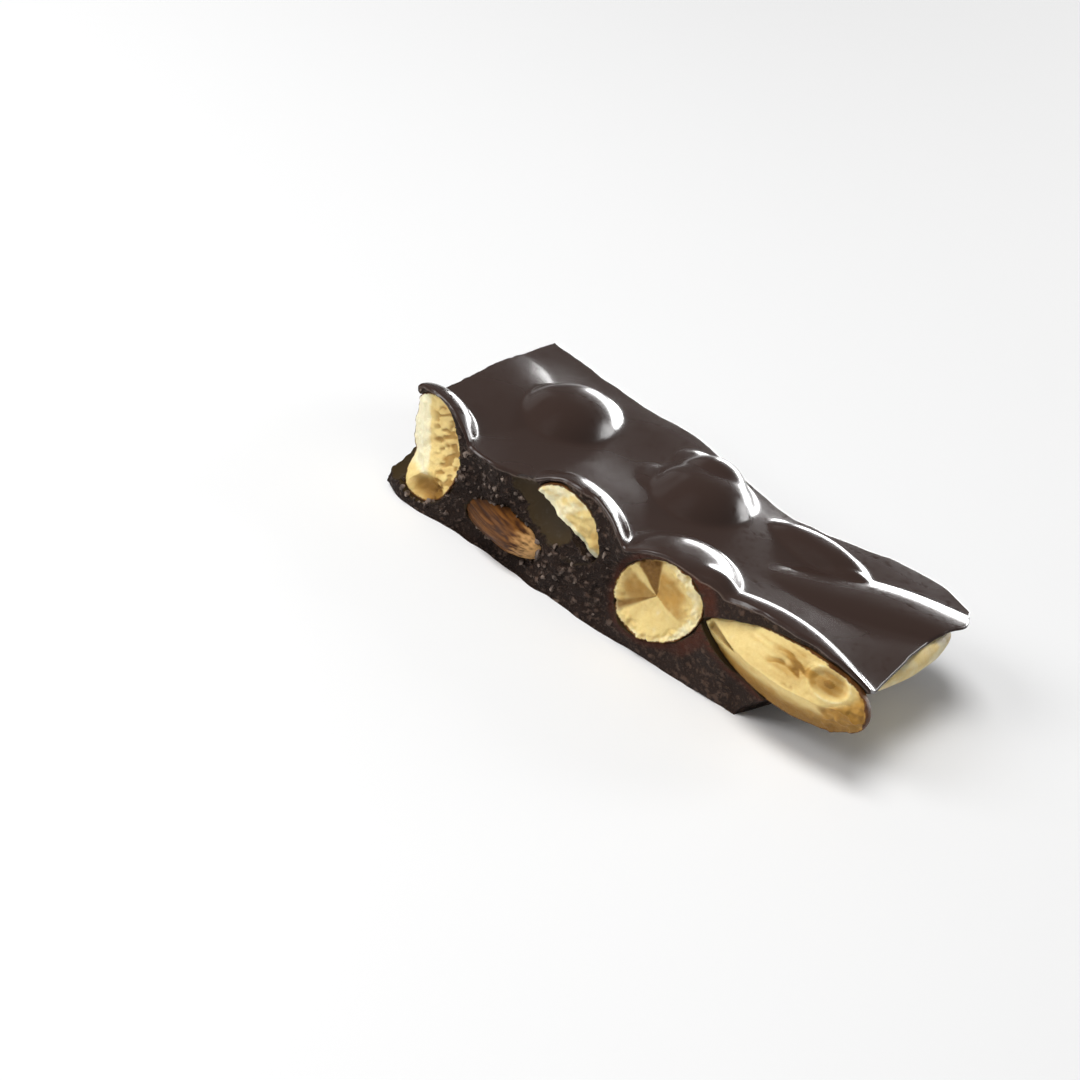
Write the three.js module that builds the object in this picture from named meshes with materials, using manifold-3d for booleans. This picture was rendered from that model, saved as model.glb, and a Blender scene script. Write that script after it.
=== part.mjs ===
// Chocolate almond bark: one broken, nearly rectangular piece of a poured slab of dark chocolate, with a
// flat underside, domes over the nuts on top, and six almonds that show at its broken front and right end.
// Millimetres. +X runs along the piece, -Y is the broken side with most of the almonds, +Z is up, and
// the origin is the middle of the bounding box, on the surface that the piece lies on.
import * as THREE from "three";
import { mergeVertices } from "three/addons/utils/BufferGeometryUtils.js";
import Module from "manifold-3d";

const wasm = await Module();
wasm.setup();

// ---- Driving dimensions -------------------------------------------------------------------------------

const SLAB = 11.0; // thickness of the chocolate between the nuts
const HALF_WIDTH = 15; // from the middle to the front or the back, roughly
const WAVE = 0.25; // slow unevenness of the poured top
const NUT_GAP = 0.3; // clearance between an almond and the chocolate round it
const CRAG = { depth: 0.6, width: 3.0 }; // relief of the broken walls
const GRAIN = { depth: 0.25, width: 1.3 }; // finer relief on top of it
const RAG = { depth: 0.3, width: 2.4 }; // unevenness of the edges in plan
const CRAG_FADE = 0.4; // how soon the relief grows from the foot and the rim

const BLOCK_CELLS = { along: 44, across: 20, up: 7 }; // facets of the chocolate
const KERNEL_CELLS = { along: 14, round: 20 }; // facets of a kernel
const BREAK_CELLS = 28; // facets along each side of a broken face
const BREAK_REACH = 17; // half width of a broken face before the kernel trims it
const SAME_PLACE = 1e-4; // vertices nearer than this are one
const NEARLY_FLAT = 0.02; // facets nearer to one plane than this are joined

// Edges of the top and of the underside: smooth curves that give y for x, or x for y at the two ends.
const TOP_EDGES = {
  front: [
    [-32.8, -14.6], [-27.9, -15.5], [-23.9, -16.0], [-21.1, -16.4], [-16.6, -15.4], [-12.9, -14.4],
    [-8.4, -14.2], [-3.9, -15.2], [0.6, -16.2], [6.1, -16.0], [11.6, -15.0], [22.1, -14.9], [31.6, -13.0],
  ],
  back: [
    [-32.3, 15.6], [-23.4, 15.0], [-16.2, 14.0], [-8.8, 14.4], [0.6, 12.4], [8.1, 11.8], [14.2, 13.6],
    [21.1, 16.4], [26.1, 17.2], [30.5, 15.9],
  ],
  left: [[-16.0, -33.2], [-10.0, -32.5], [6.0, -32.8], [16.0, -32.3]],
  right: [[-14.0, 31.5], [-7.0, 31.0], [2.0, 30.6], [7.0, 31.4], [10.5, 32.0], [16.0, 30.2]],
};
const FOOT_EDGES = {
  front: [
    [-32.0, -15.4], [-28.7, -17.0], [-20.9, -16.2], [-11.9, -16.5], [-3.4, -16.4], [6.0, -15.6],
    [19.1, -14.6],
  ],
  back: [[-31.4, 15.6], [-13.4, 15.0], [4.6, 12.6], [16.6, 14.4], [24.1, 16.2]],
  left: [[-16.0, -32.2], [-2.0, -32.6], [16.0, -31.4]],
  right: [[-15.0, 18.8], [-8.7, 20.4], [4.0, 23.1], [16.0, 24.6]],
};
const SPINE = [-16, 12]; // the middle line that the walls face away from, from x to x
const SWING = { front: 1.0, right: 1.6 }; // how late a wall leaves its foot for its overhanging rim

// Domes on the top: middle, half length and half width at the foot, turn of the length from +X in degrees,
// and height.
const DOMES = [
  { at: [-29.6, -15.4], size: [6.0, 5.2], turn: -20, rise: 2.85 }, // over the almond at the left corner
  { at: [-8.0, -15.2], size: [8.0, 5.8], turn: -33, rise: 2.5 }, // over the loose half
  { at: [5.6, -13.0], size: [7.0, 7.8], turn: 0, rise: 3.0 }, // over the round one
  { at: [20.8, -13.9], size: [12.7, 5.0], turn: 0, rise: 2.9 }, // over the long split one
  { at: [-20.9, 2.6], size: [5.6, 7.8], turn: 0, rise: 2.7 },
  { at: [-1.7, 3.9], size: [6.2, 7.7], turn: 0, rise: 3.1 },
  { at: [-3.8, 8.4], size: [5.0, 4.2], turn: -15, rise: 0.9 },
  { at: [13.2, 7.5], size: [7.1, 3.4], turn: 0, rise: 1.7 },
  { at: [25.0, 6.2], size: [16.0, 4.8], turn: 33, rise: 1.1 },
  { at: [-31.0, -4.5], size: [8.5, 13.0], turn: 0, rise: 0.6 },
  { at: [-7.2, 1.2], size: [2.6, 3.4], turn: 30, rise: 0.3 },
];
const SHOULDER = 2.6; // how square the shoulder of a dome is
const FILLET = 0.12; // how softly the foot of a dome runs out, as a share of its height

// Places where more of the front wall broke away: middle, half width, half height and depth.
const DENTS = [
  { x: -22.0, z: 8.5, width: 2.4, height: 4.5, depth: 1.3 },
  { x: -17.5, z: 3.2, width: 6.4, height: 3.8, depth: 1.7 },
  { x: -1.6, z: 5.6, width: 3.4, height: 4.6, depth: 1.2 },
];

const FLESH_LOOK = { color: 0xdcb566, roughness: 0.6, metalness: 0 };
const SKIN_LOOK = { color: 0x7a4520, roughness: 0.6, metalness: 0 };

// The almonds. size is a whole kernel's length, width and thickness, tip is the way its pointed end looks,
// and thin is the way across its thickness. Each cut breaks the kernel: out looks away from what is left,
// each slope is one facet of the break, given by its rise to the right and its rise upwards, and bend is
// how soon the face falls back on both sides of its middle. The chocolate lies close to a fitted break.
const ALMONDS = [
  {
    name: "almond_left_end", look: FLESH_LOOK, // on edge at the left corner, broken across
    size: [13, 12.8, 9.0], at: [-28.6, -14.6, 7.3], tip: [0.04, 1, 0], thin: [0.92, 0, 0.39],
    cuts: [
      { at: [-28.0, -15.0, 7.2], out: [-0.05, -1, 0], slopes: [[0, 0], [0.1, -0.25]] },
      { at: [-28.8, -15.0, 4.2], out: [-0.61, -0.77, -0.2], slopes: [[0, 0], [0, -0.8]] },
    ],
  },
  {
    name: "almond_in_skin", look: SKIN_LOOK, // whole, its round end bulging from the wall
    size: [18.4, 9.4, 5.0], at: [-18.7, -11.4, 3.3], tip: [-0.92, 0.39, -0.03], thin: [0, 0, 1],
    cuts: [],
  },
  {
    name: "almond_half", look: FLESH_LOOK, // one of the two halves of a kernel, broken across
    size: [20, 10.4, 6.8], at: [-9.0, -12.3, 8.4], tip: [0, 1, -0.2], thin: [0.36, 0, 0.93],
    cuts: [
      { at: [-9.0, -14.6, 8.8], out: [0.1, -1, 0.1], slopes: [[0.05, 0.1], [-0.1, -0.15]] },
      { at: [-9.0, -12.3, 8.7], out: [-0.36, 0, -0.933], slopes: [[0, 0]], fitted: true },
    ],
  },
  {
    name: "almond_round", look: FLESH_LOOK, // points into the slab, broken across in steep facets
    size: [22, 11.4, 9.9], at: [5.2, -13.6, 7.6], tip: [0, 1, 0], thin: [0.64, 0, -0.77],
    cuts: [
      {
        at: [4.6, -14.6, 7.5], out: [0, -1, 0],
        slopes: [[0, -0.3], [0.1, 0.4], [-0.3, 0.1], [0.18, 0.05]],
      },
    ],
  },
  {
    name: "almond_split", look: FLESH_LOOK, // lies along the front, split, and reaches past the right end
    size: [22.4, 8.7, 7.0], at: [21.8, -14.2, 8.4], tip: [-1, -0.07, 0], thin: [0, 1, 0],
    cuts: [
      { at: [21.6, -16.8, 8.2], out: [0, -0.9, 0.42], slopes: [[0, 0], [0.05, -0.06]], bend: 0.018 },
      { at: [21.6, -16.8, 8.2], out: [0, -0.86, -0.52], slopes: [[0, 0]], bend: 0.018 },
    ],
  },
  {
    name: "almond_right_end", look: FLESH_LOOK, // lies along the right end, its side showing under the top
    size: [22.8, 7.2, 4.4], at: [28.6, 1.9, 7.7], tip: [-0.04, -1, -0.03], thin: [0.69, 0, -0.72],
    cuts: [],
  },
];

// Empty prints of almonds that broke away with the rest of the slab, described like the almonds.
const PRINTS = [
  { // under the half, of its other half
    size: [5.6, 10.8, 7.4], at: [-12.2, -15.9, 9.9], tip: [0, 1, 0], thin: [0.46, 0, 0.89],
    cuts: [{ at: [-9.0, -12.3, 8.9], out: [0.36, 0, 0.933], slopes: [[0, 0]], fitted: true }],
  },
  { // at the left corner
    size: [14, 12.5, 7.0], at: [-33.4, -15.2, 7.4], tip: [0, 1, 0], thin: [0.92, 0, 0.39],
    cuts: [],
  },
];

const TIP_SHARPNESS = 0.3; // 0 rounds the tip like the other end
const TIP_NARROWING = 0.2; // share of the width lost from the middle to the tip

const CHOCOLATE_LOOK = { color: 0x33261f, roughness: 0.35, metalness: 0 };

// ---- Curves and noise ---------------------------------------------------------------------------------

const mix = (a, b, t) => a + (b - a) * t;
const smooth = (t) => t * t * (3 - 2 * t);

// The value at a place on a smooth curve through points [place, value], level beyond both ends.
function follow(points, place) {
  const last = points.length - 1;
  if (place <= points[0][0]) return points[0][1];
  if (place >= points[last][0]) return points[last][1];
  const next = points.findIndex((point) => point[0] > place);
  const slopeAt = (k) => {
    const before = points[Math.max(0, k - 1)];
    const after = points[Math.min(last, k + 1)];
    return (after[1] - before[1]) / (after[0] - before[0]);
  };
  const [x0, y0] = points[next - 1];
  const [x1, y1] = points[next];
  const width = x1 - x0;
  const t = (place - x0) / width;
  const lift = width * t * (1 - t) * ((1 - t) * slopeAt(next - 1) - t * slopeAt(next));
  return mix(y0, y1, smooth(t)) + lift;
}

// Smooth noise from -1 to 1 that is the same at every run.
function noise(x, y, z) {
  const cell = [x, y, z].map(Math.floor);
  const [tx, ty, tz] = [x, y, z].map((value, i) => smooth(value - cell[i]));
  const corner = (i, j, k) => {
    const seed = (cell[0] + i) * 12.9898 + (cell[1] + j) * 78.233 + (cell[2] + k) * 37.719;
    const value = Math.sin(seed) * 43758.5453;
    return 2 * (value - Math.floor(value)) - 1;
  };
  const edge = (j, k) => mix(corner(0, j, k), corner(1, j, k), tx);
  return mix(mix(edge(0, 0), edge(1, 0), ty), mix(edge(0, 1), edge(1, 1), ty), tz);
}

const relief = ({ depth, width }, [x, y, z]) => depth * noise(x / width, y / width, z / width);

// ---- Solids -------------------------------------------------------------------------------------------

// A closed geometry as a solid: its shared vertices are merged and its collapsed triangles dropped.
function solid(geometry) {
  geometry.deleteAttribute("normal");
  geometry.deleteAttribute("uv");
  const merged = mergeVertices(geometry, SAME_PLACE);
  const corners = merged.index.array;
  const triVerts = [];
  for (let i = 0; i < corners.length; i += 3) {
    const [a, b, c] = corners.slice(i, i + 3);
    if (a !== b && b !== c && c !== a) triVerts.push(a, b, c);
  }
  const vertProperties = merged.attributes.position.array;
  const mesh = new wasm.Mesh({ numProp: 3, vertProperties, triVerts: new Uint32Array(triVerts) });
  return new wasm.Manifold(mesh);
}

// A box of facets whose vertices are moved to place(u, v, w), where u, v and w go from 0 to 1.
function mappedBox(cellsU, cellsV, cellsW, place) {
  const box = new THREE.BoxGeometry(1, 1, 1, cellsU, cellsV, cellsW);
  const position = box.attributes.position;
  for (let i = 0; i < position.count; i++) {
    const [u, v, w] = [position.getX(i), position.getY(i), position.getZ(i)].map((value) => value + 0.5);
    position.setXYZ(i, ...place(u, v, w));
  }
  return solid(box);
}

// Three unit directions from two: the first is kept, the second is made square to it.
function axesFrom(first, second) {
  const a = new THREE.Vector3(...first).normalize();
  const b = new THREE.Vector3(...second);
  b.addScaledVector(a, -a.dot(b)).normalize();
  return { a, b, c: new THREE.Vector3().crossVectors(a, b) };
}

// ---- Chocolate ----------------------------------------------------------------------------------------

// Height of the poured top: the slab, its slow waves and the domes.
function topHeight(x, y) {
  let height = SLAB + WAVE * Math.sin(0.21 * x + 0.8) * Math.cos(0.26 * y - 0.4);
  for (const { at, size, turn, rise } of DOMES) {
    const offset = new THREE.Vector2(x - at[0], y - at[1]);
    offset.rotateAround(new THREE.Vector2(), -THREE.MathUtils.degToRad(turn));
    const left = 1 - Math.hypot(offset.x / size[0], offset.y / size[1]) ** SHOULDER;
    height += (rise * (left + Math.hypot(left, FILLET))) / 2;
  }
  return height;
}

// A place in a plan: u runs from the left end to the right, v from the front to the back.
function inPlan(edges, u, v) {
  const y = mix(-HALF_WIDTH, HALF_WIDTH, v);
  const x = mix(follow(edges.left, y), follow(edges.right, y), u);
  const front = follow(edges.front, x) + relief(RAG, [x, -HALF_WIDTH, 0]);
  const back = follow(edges.back, x) + relief(RAG, [x, HALF_WIDTH, 0]);
  return [x, mix(front, back, v)];
}

// A place on the surface of the chocolate, where w goes from the foot up to the top.
function onChocolate(u, v, w) {
  const [footX, footY] = inPlan(FOOT_EDGES, u, v);
  if (w === 0) return [footX, footY, 0];
  const [topX, topY] = inPlan(TOP_EDGES, u, v);
  const topZ = topHeight(topX, topY);
  if (w === 1) return [topX, topY, topZ];
  const swing = w ** mix(SWING.front, SWING.right, u ** 4);
  const point = [mix(footX, topX, swing), mix(footY, topY, swing), w * topZ];
  return broken(point, Math.sin(Math.PI * w) ** CRAG_FADE, v === 0);
}

// A point of a broken wall, moved in or out by the crags. share fades them at the foot and the rim.
function broken([x, y, z], share, isFront) {
  let depth = share * (relief(CRAG, [x, y, z]) + relief(GRAIN, [x, y, z]));
  for (const dent of isFront ? DENTS : []) {
    const away = Math.hypot((x - dent.x) / dent.width, (z - dent.z) / dent.height);
    depth += dent.depth * Math.exp(-(away ** SHOULDER));
  }
  const nearest = THREE.MathUtils.clamp(x, SPINE[0], SPINE[1]);
  const out = new THREE.Vector2(x - nearest, y).normalize();
  return [x - out.x * depth, y - out.y * depth, z];
}

// ---- Almonds ------------------------------------------------------------------------------------------

// Half width of a kernel as a share of its widest, from its round end at 0 to its tip at 1.
function girth(s) {
  const t = 2 * s - 1;
  return (1 - t * t) ** (0.5 + TIP_SHARPNESS * s * s) * (1 - TIP_NARROWING * t);
}

// A whole kernel, bigger all round by grow.
function kernel({ at, size, tip, thin }, grow = 0) {
  const [length, width, thick] = size.map((value) => value / 2 + grow);
  const profile = [];
  for (let i = 0; i <= KERNEL_CELLS.along; i++) {
    const s = (1 - Math.cos((Math.PI * i) / KERNEL_CELLS.along)) / 2;
    const atPole = i === 0 || i === KERNEL_CELLS.along;
    profile.push(new THREE.Vector2(atPole ? 0 : girth(s), 2 * s - 1));
  }
  const { a, b, c } = axesFrom(tip, thin);
  const place = new THREE.Matrix4().makeBasis(
    c.multiplyScalar(width),
    a.multiplyScalar(length),
    b.multiplyScalar(thick),
  );
  place.setPosition(...at);
  return solid(new THREE.LatheGeometry(profile, KERNEL_CELLS.round).applyMatrix4(place));
}

// The block that a cut leaves: its face is broken into the cut's slopes, with a fine grain, and moved out
// by gap.
function blockBehind({ at, out, slopes, bend = 0 }, gap = 0) {
  const steep = Math.abs(out[2]) > 0.9;
  const { a: away, b: up, c: side } = axesFrom(out, steep ? [0, 1, 0] : [0, 0, 1]);
  return mappedBox(BREAK_CELLS, BREAK_CELLS, 1, (u, v, w) => {
    const sideways = mix(-BREAK_REACH, BREAK_REACH, u);
    const upwards = mix(-BREAK_REACH, BREAK_REACH, v);
    const point = new THREE.Vector3(...at).addScaledVector(side, -sideways).addScaledVector(up, upwards);
    const steepest = Math.max(...slopes.map(([s, t]) => s * sideways + t * upwards));
    const face = steepest - bend * sideways ** 2 + relief(GRAIN, point.toArray()) + gap;
    return point.addScaledVector(away, w === 1 ? face : -2 * BREAK_REACH).toArray();
  });
}

function almond(description) {
  return description.cuts.reduce((rest, cut) => rest.intersect(blockBehind(cut)), kernel(description));
}

// The room of a kernel in the chocolate: bigger all round by gap, and flat where the chocolate is fitted.
function room(description, gap) {
  const fitted = description.cuts.filter((cut) => cut.fitted);
  return fitted.reduce((rest, cut) => rest.intersect(blockBehind(cut, gap)), kernel(description, gap));
}

// ---- The piece ----------------------------------------------------------------------------------------

const bark = new THREE.Group();

function addMesh(name, shape, look) {
  const { vertProperties, triVerts } = shape.simplify(NEARLY_FLAT).getMesh();
  const geometry = new THREE.BufferGeometry();
  geometry.setAttribute("position", new THREE.BufferAttribute(vertProperties, 3));
  geometry.setIndex(new THREE.BufferAttribute(triVerts, 1));
  geometry.computeVertexNormals();
  const mesh = new THREE.Mesh(geometry, new THREE.MeshStandardMaterial(look));
  mesh.name = name;
  bark.add(mesh);
}

let chocolate = mappedBox(BLOCK_CELLS.along, BLOCK_CELLS.across, BLOCK_CELLS.up, onChocolate);
for (const print of PRINTS) chocolate = chocolate.subtract(room(print, 0));
for (const description of ALMONDS) {
  chocolate = chocolate.subtract(room(description, NUT_GAP));
  addMesh(description.name, almond(description), description.look);
}
addMesh("chocolate", chocolate, CHOCOLATE_LOOK);

export default bark;
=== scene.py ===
"""Chocolate almond bark: the finished surfaces of one broken piece of a poured slab of dark chocolate.

The tables and the surface functions are in millimetres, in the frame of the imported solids: +X runs along
the piece, -Y is its broken front, +Z is up, and it lies on z = 0. The meshes are written in metres.
"""

import itertools
import math

import bpy
import numpy as np
from mathutils import Matrix, Vector


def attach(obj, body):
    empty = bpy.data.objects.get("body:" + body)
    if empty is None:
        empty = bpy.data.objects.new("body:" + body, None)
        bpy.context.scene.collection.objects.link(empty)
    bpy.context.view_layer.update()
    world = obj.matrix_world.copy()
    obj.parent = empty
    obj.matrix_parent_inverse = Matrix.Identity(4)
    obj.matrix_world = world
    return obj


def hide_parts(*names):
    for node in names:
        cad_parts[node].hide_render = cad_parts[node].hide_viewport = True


bl_info = {
    "name": "Chocolate Almond Bark",
    "version": (1, 0, 0),
    "blender": (4, 5, 0),
    "location": "3D View > Sidebar > Bark",
    "description": "Builds the finished surfaces of a broken piece of chocolate almond bark",
    "category": "Add Mesh",
}

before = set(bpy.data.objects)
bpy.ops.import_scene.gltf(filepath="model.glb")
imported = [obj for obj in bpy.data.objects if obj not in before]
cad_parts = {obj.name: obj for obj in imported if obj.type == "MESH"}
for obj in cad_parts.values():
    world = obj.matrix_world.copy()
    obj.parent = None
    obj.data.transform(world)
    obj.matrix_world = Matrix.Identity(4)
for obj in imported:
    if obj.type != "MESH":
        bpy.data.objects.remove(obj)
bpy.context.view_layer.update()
MM = 0.001

# ---- The slab, as the solids have it ---------------------------------------------------------------------

SLAB = 11.0  # thickness of the chocolate between the nuts
HALF_LENGTH, HALF_WIDTH = 32.0, 15.0  # of the lattice that the edges below pull into shape
# Slow unevenness of the poured top: depth, and the radians per millimetre and the start along x and y.
WAVE = dict(depth=0.25, x=(0.21, 0.8), y=(0.26, -0.4))
CRAG = dict(depth=0.6, width=3.0)  # relief of the broken walls
GRAIN = dict(depth=0.25, width=1.3)
RAG = dict(depth=0.3, width=2.4)  # unevenness of the edges in plan
CRAG_FADE = 0.4
SPINE = (-16.0, 12.0)  # the middle line that the walls face away from, from x to x
SWING = dict(front=1.0, right=1.6)  # how late a wall leaves its foot for its overhanging rim
SHOULDER = 2.6  # how square the shoulder of a dome is
FILLET = 0.12  # how softly a dome rises from the slab

# Edges of the top and of the underside: smooth curves that give y for x, or x for y at the two ends.
TOP_EDGES = dict(
    front=[
        (-32.8, -14.6), (-27.9, -15.5), (-23.9, -16.0), (-21.1, -16.4), (-16.6, -15.4), (-12.9, -14.4),
        (-8.4, -14.2), (-3.9, -15.2), (0.6, -16.2), (6.1, -16.0), (11.6, -15.0), (22.1, -14.9), (31.6, -13.0),
    ],
    back=[
        (-32.3, 15.6), (-23.4, 15.0), (-16.2, 14.0), (-8.8, 14.4), (0.6, 12.4), (8.1, 11.8), (14.2, 13.6),
        (21.1, 16.4), (26.1, 17.2), (30.5, 15.9),
    ],
    left=[(-16.0, -33.2), (-10.0, -32.5), (6.0, -32.8), (16.0, -32.3)],
    right=[(-14.0, 31.5), (-7.0, 31.0), (2.0, 30.6), (7.0, 31.4), (10.5, 32.0), (16.0, 30.2)],
)
FOOT_EDGES = dict(
    front=[
        (-32.0, -15.4), (-28.7, -17.0), (-20.9, -16.2), (-11.9, -16.5), (-3.4, -16.4), (6.0, -15.6),
        (19.1, -14.6),
    ],
    back=[(-31.4, 15.6), (-13.4, 15.0), (4.6, 12.6), (16.6, 14.4), (24.1, 16.2)],
    left=[(-16.0, -32.2), (-2.0, -32.6), (16.0, -31.4)],
    right=[(-15.0, 18.8), (-8.7, 20.4), (4.0, 23.1), (16.0, 24.6)],
)

# Domes on the top: middle, half length and half width at the foot, turn of the length from +X in degrees,
# and height.
DOMES = [
    dict(at=(-29.6, -15.4), size=(6.0, 5.2), turn=-20, rise=2.85),
    dict(at=(-8.0, -15.2), size=(8.0, 5.8), turn=-33, rise=2.5),
    dict(at=(5.6, -13.0), size=(7.0, 7.8), turn=0, rise=3.0),
    dict(at=(20.8, -13.9), size=(12.7, 5.0), turn=0, rise=2.9),
    dict(at=(-20.9, 2.6), size=(5.6, 7.8), turn=0, rise=2.7),
    dict(at=(-1.7, 3.9), size=(6.2, 7.7), turn=0, rise=3.1),
    dict(at=(-3.8, 8.4), size=(5.0, 4.2), turn=-15, rise=0.9),
    dict(at=(13.2, 7.5), size=(7.1, 3.4), turn=0, rise=1.7),
    dict(at=(25.0, 6.2), size=(16.0, 4.8), turn=33, rise=1.1),
    dict(at=(-31.0, -4.5), size=(8.5, 13.0), turn=0, rise=0.6),
    dict(at=(-7.2, 1.2), size=(2.6, 3.4), turn=30, rise=0.3),
]

# Places where more of the front wall broke away: middle, half width, half height and depth.
DENTS = [
    dict(x=-22.0, z=8.5, width=2.4, height=4.5, depth=1.3),
    dict(x=-17.5, z=3.2, width=6.4, height=3.8, depth=1.7),
    dict(x=-1.6, z=5.6, width=3.4, height=4.6, depth=1.2),
]

# Empty prints that almonds left in the broken walls: the other half of the broken one, and one at the left
# corner.
PRINTS = [
    dict(
        size=(5.6, 10.8, 7.4), at=(-12.2, -15.9, 9.9), tip=(0, 1, 0), thin=(0.46, 0, 0.89),
        cuts=[
            dict(
                at=(-9.0, -12.3, 8.9), out=(0.36, 0, 0.933), slopes=[(0, 0)],
                reach=(12.0, 12.0), close=True,
            ),
        ],
    ),
    dict(size=(14, 12.5, 7.0), at=(-33.4, -15.2, 7.4), tip=(0, 1, 0), thin=(0.92, 0, 0.39), cuts=[]),
]

TIP_SHARPNESS = 0.3  # 0 rounds the tip of a kernel like its other end
TIP_NARROWING = 0.2  # share of the width lost from the middle to the tip
LEAST_RINGS, LEAST_SECTORS = 12, 24  # of the mesh of a kernel

# ---- Finer relief, which only the finished surfaces have -------------------------------------------------

FINE_RAG = dict(depth=0.07, width=0.9)  # unevenness of the rim
ENDS_APART = 40  # how far apart in the noise the two ends of the slab are
ENDS_ONLY = 8  # the power that keeps their unevenness close to them
CRUMBS_COARSE = dict(depth=0.42, width=1.1)  # lumps of a crumbly break
CRUMBS_FINE = dict(depth=0.2, width=0.5)
FLESH_GRAIN = dict(depth=0.09, width=0.45)  # grain of a broken almond
CRUMBLY_FROM = (7.0, -3.0)  # the front wall turns from fine to crumbly between these places along it
CRUMBLINESS = dict(fine=0.3, coarse=1.0, elsewhere=0.45)
WALL_BEFORE = -11.0  # broken chocolate in front of this y is part of the front wall
GLOSS_ENDS = (0.25, 0.05)  # how far under the rounded rim the gloss fades out and is full
PRINT_ENDS = (0.14, 0.06)  # how far from a nut its smooth print ends and is full
# The red of the broken chocolate: its reach round the round almond, which grows along the piece and where the
# skins redden it, and under the long one, where it is painted reddish shade.
STAIN_AND_SHADE = dict(
    near=1.3, far=2.3, grows=(8.0, 10.5), fade=0.9, under=(1.2, 0.3), below=(8.0, 6.5), blotch=1.1,
)
# Places on the front wall where loose crumbs lie thickest: middle and how far they spread.
HEAPS = [
    dict(x=-9.4, z=2.3, reach=3.0),
    dict(x=-20.5, z=7.0, reach=3.6),
    dict(x=-25.5, z=3.0, reach=2.6),
    dict(x=-17.5, z=1.2, reach=2.6),
]
CRUMBS_BEFORE = -12.0  # loose crumbs lie only in front of this y
CRUMBS_ELSEWHERE = 0.12  # how thick they lie beside the heaps
CRUMB_SEED = 7
DENT_FADE = 10  # how close to the rim the dents reach
CROWDING = 0.55  # how much closer the cells lie along the edges of the block
CLOSE_GAP = 0.25  # between the flat side of a half and the chocolate under it
ON_FACE = 0.05  # points nearer than this to a cut's face are on it
PEELED = 1.0  # how far from an edge of skin the almond is that lost its skin
STEP = 0.2  # for slopes worked out from two places
LEVEL = 0.9  # a cut that faces further up or down than this has its own up along Y
LEAST_SLOPE = 0.1  # keeps a depth over a slope from growing without end
LEAST_REACH = 0.05  # keeps a size over a reach from growing without end
HASH = np.array([12.9898, 78.233, 37.719])  # mixes the three numbers of a corner into one
HASH_SCALE = 43758.5453  # large, so that only the last digits of the mixed number count
SPOT_SHIFT = 0.42  # how far a random spot may lie from the middle of its cell
AXES_APART = 17.0  # cells between the random values that shift a spot along x, y and z


# ---- Curves and noise ------------------------------------------------------------------------------------

def mix(a, b, t):
    """a at 0, b at 1, and straight between."""
    return a + (b - a) * t


def smooth(t):
    """0 below 0, 1 above 1, and t * t * (3 - 2t) between."""
    t = np.clip(t, 0.0, 1.0)
    return t * t * (3 - 2 * t)


def rise_between(value, start, end):
    """Smooth step from 0 at start to 1 at end, either way round."""
    return smooth((value - start) / (end - start))


def fading(away, power=2):
    """1 in the middle and less further away: e to the minus away^power."""
    return np.exp(-(np.abs(away) ** power))


def follow(points, place):
    """Values of a smooth curve through the points: cubic between them, with the slope at each point taken
    from its neighbours, and level past both ends."""
    places, values = np.array(points, float).T
    order = np.arange(len(places))
    before = np.maximum(order - 1, 0)
    after = np.minimum(order + 1, len(places) - 1)
    slopes = (values[after] - values[before]) / (places[after] - places[before])
    place = np.clip(place, places[0], places[-1])
    k = np.clip(np.searchsorted(places, place, side="right") - 1, 0, len(places) - 2)
    width = places[k + 1] - places[k]
    t = (place - places[k]) / width
    lift = width * t * (1 - t) * ((1 - t) * slopes[k] - t * slopes[k + 1])
    return mix(values[k], values[k + 1], smooth(t)) + lift


def at_corner(cells):
    """A random value from -1 to 1 that belongs to each whole-number corner."""
    value = np.sin(cells @ HASH) * HASH_SCALE
    return 2 * (value - np.floor(value)) - 1


def noise(points):
    """Smooth noise from -1 to 1: the values of the eight corners round a point, blended by smooth shares."""
    cell = np.floor(points)
    t = smooth(points - cell)
    total = np.zeros(points.shape[:-1])
    for offset in itertools.product((0, 1), repeat=3):
        share = np.prod(np.where(np.array(offset) == 1, t, 1 - t), axis=-1)
        total += share * at_corner(cell + offset)
    return total


def spots(points):
    """Distance to the nearest of the random spots, of which each unit cell holds one."""
    cell = np.floor(points)
    nearest = np.full(points.shape[:-1], np.inf)
    for offset in itertools.product((-1, 0, 1), repeat=3):
        near = cell + offset
        shift = np.stack([at_corner(near + AXES_APART * axis) for axis in (1, 2, 3)], axis=-1)
        away = np.linalg.norm(near + 0.5 + SPOT_SHIFT * shift - points, axis=-1)
        nearest = np.minimum(nearest, away)
    return nearest


def relief(kind, points):
    """Noise of one kind's width, times its depth."""
    return kind["depth"] * noise(points / kind["width"])


def lumps(kind, points):
    """Rounded lumps with creases between them, from -1 in a crease to about 1 on a lump, times the depth."""
    return kind["depth"] * (1 - 2 * np.clip(spots(points / kind["width"]), 0, 1))


def turned(first, second, degrees):
    """Two coordinates as seen along and across a direction turned by some degrees."""
    turn = math.radians(degrees)
    return (
        first * math.cos(turn) + second * math.sin(turn),
        second * math.cos(turn) - first * math.sin(turn),
    )


def stacked(*parts):
    """Numbers and arrays side by side in a new last axis, as points have them."""
    return np.stack(np.broadcast_arrays(*parts), axis=-1).astype(float)


def crowded(t):
    """0 to 1 with the steps near both ends made shorter by a sine."""
    return t - CROWDING * np.sin(2 * math.pi * t) / (2 * math.pi)


# ---- Meshes ----------------------------------------------------------------------------------------------

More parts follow.
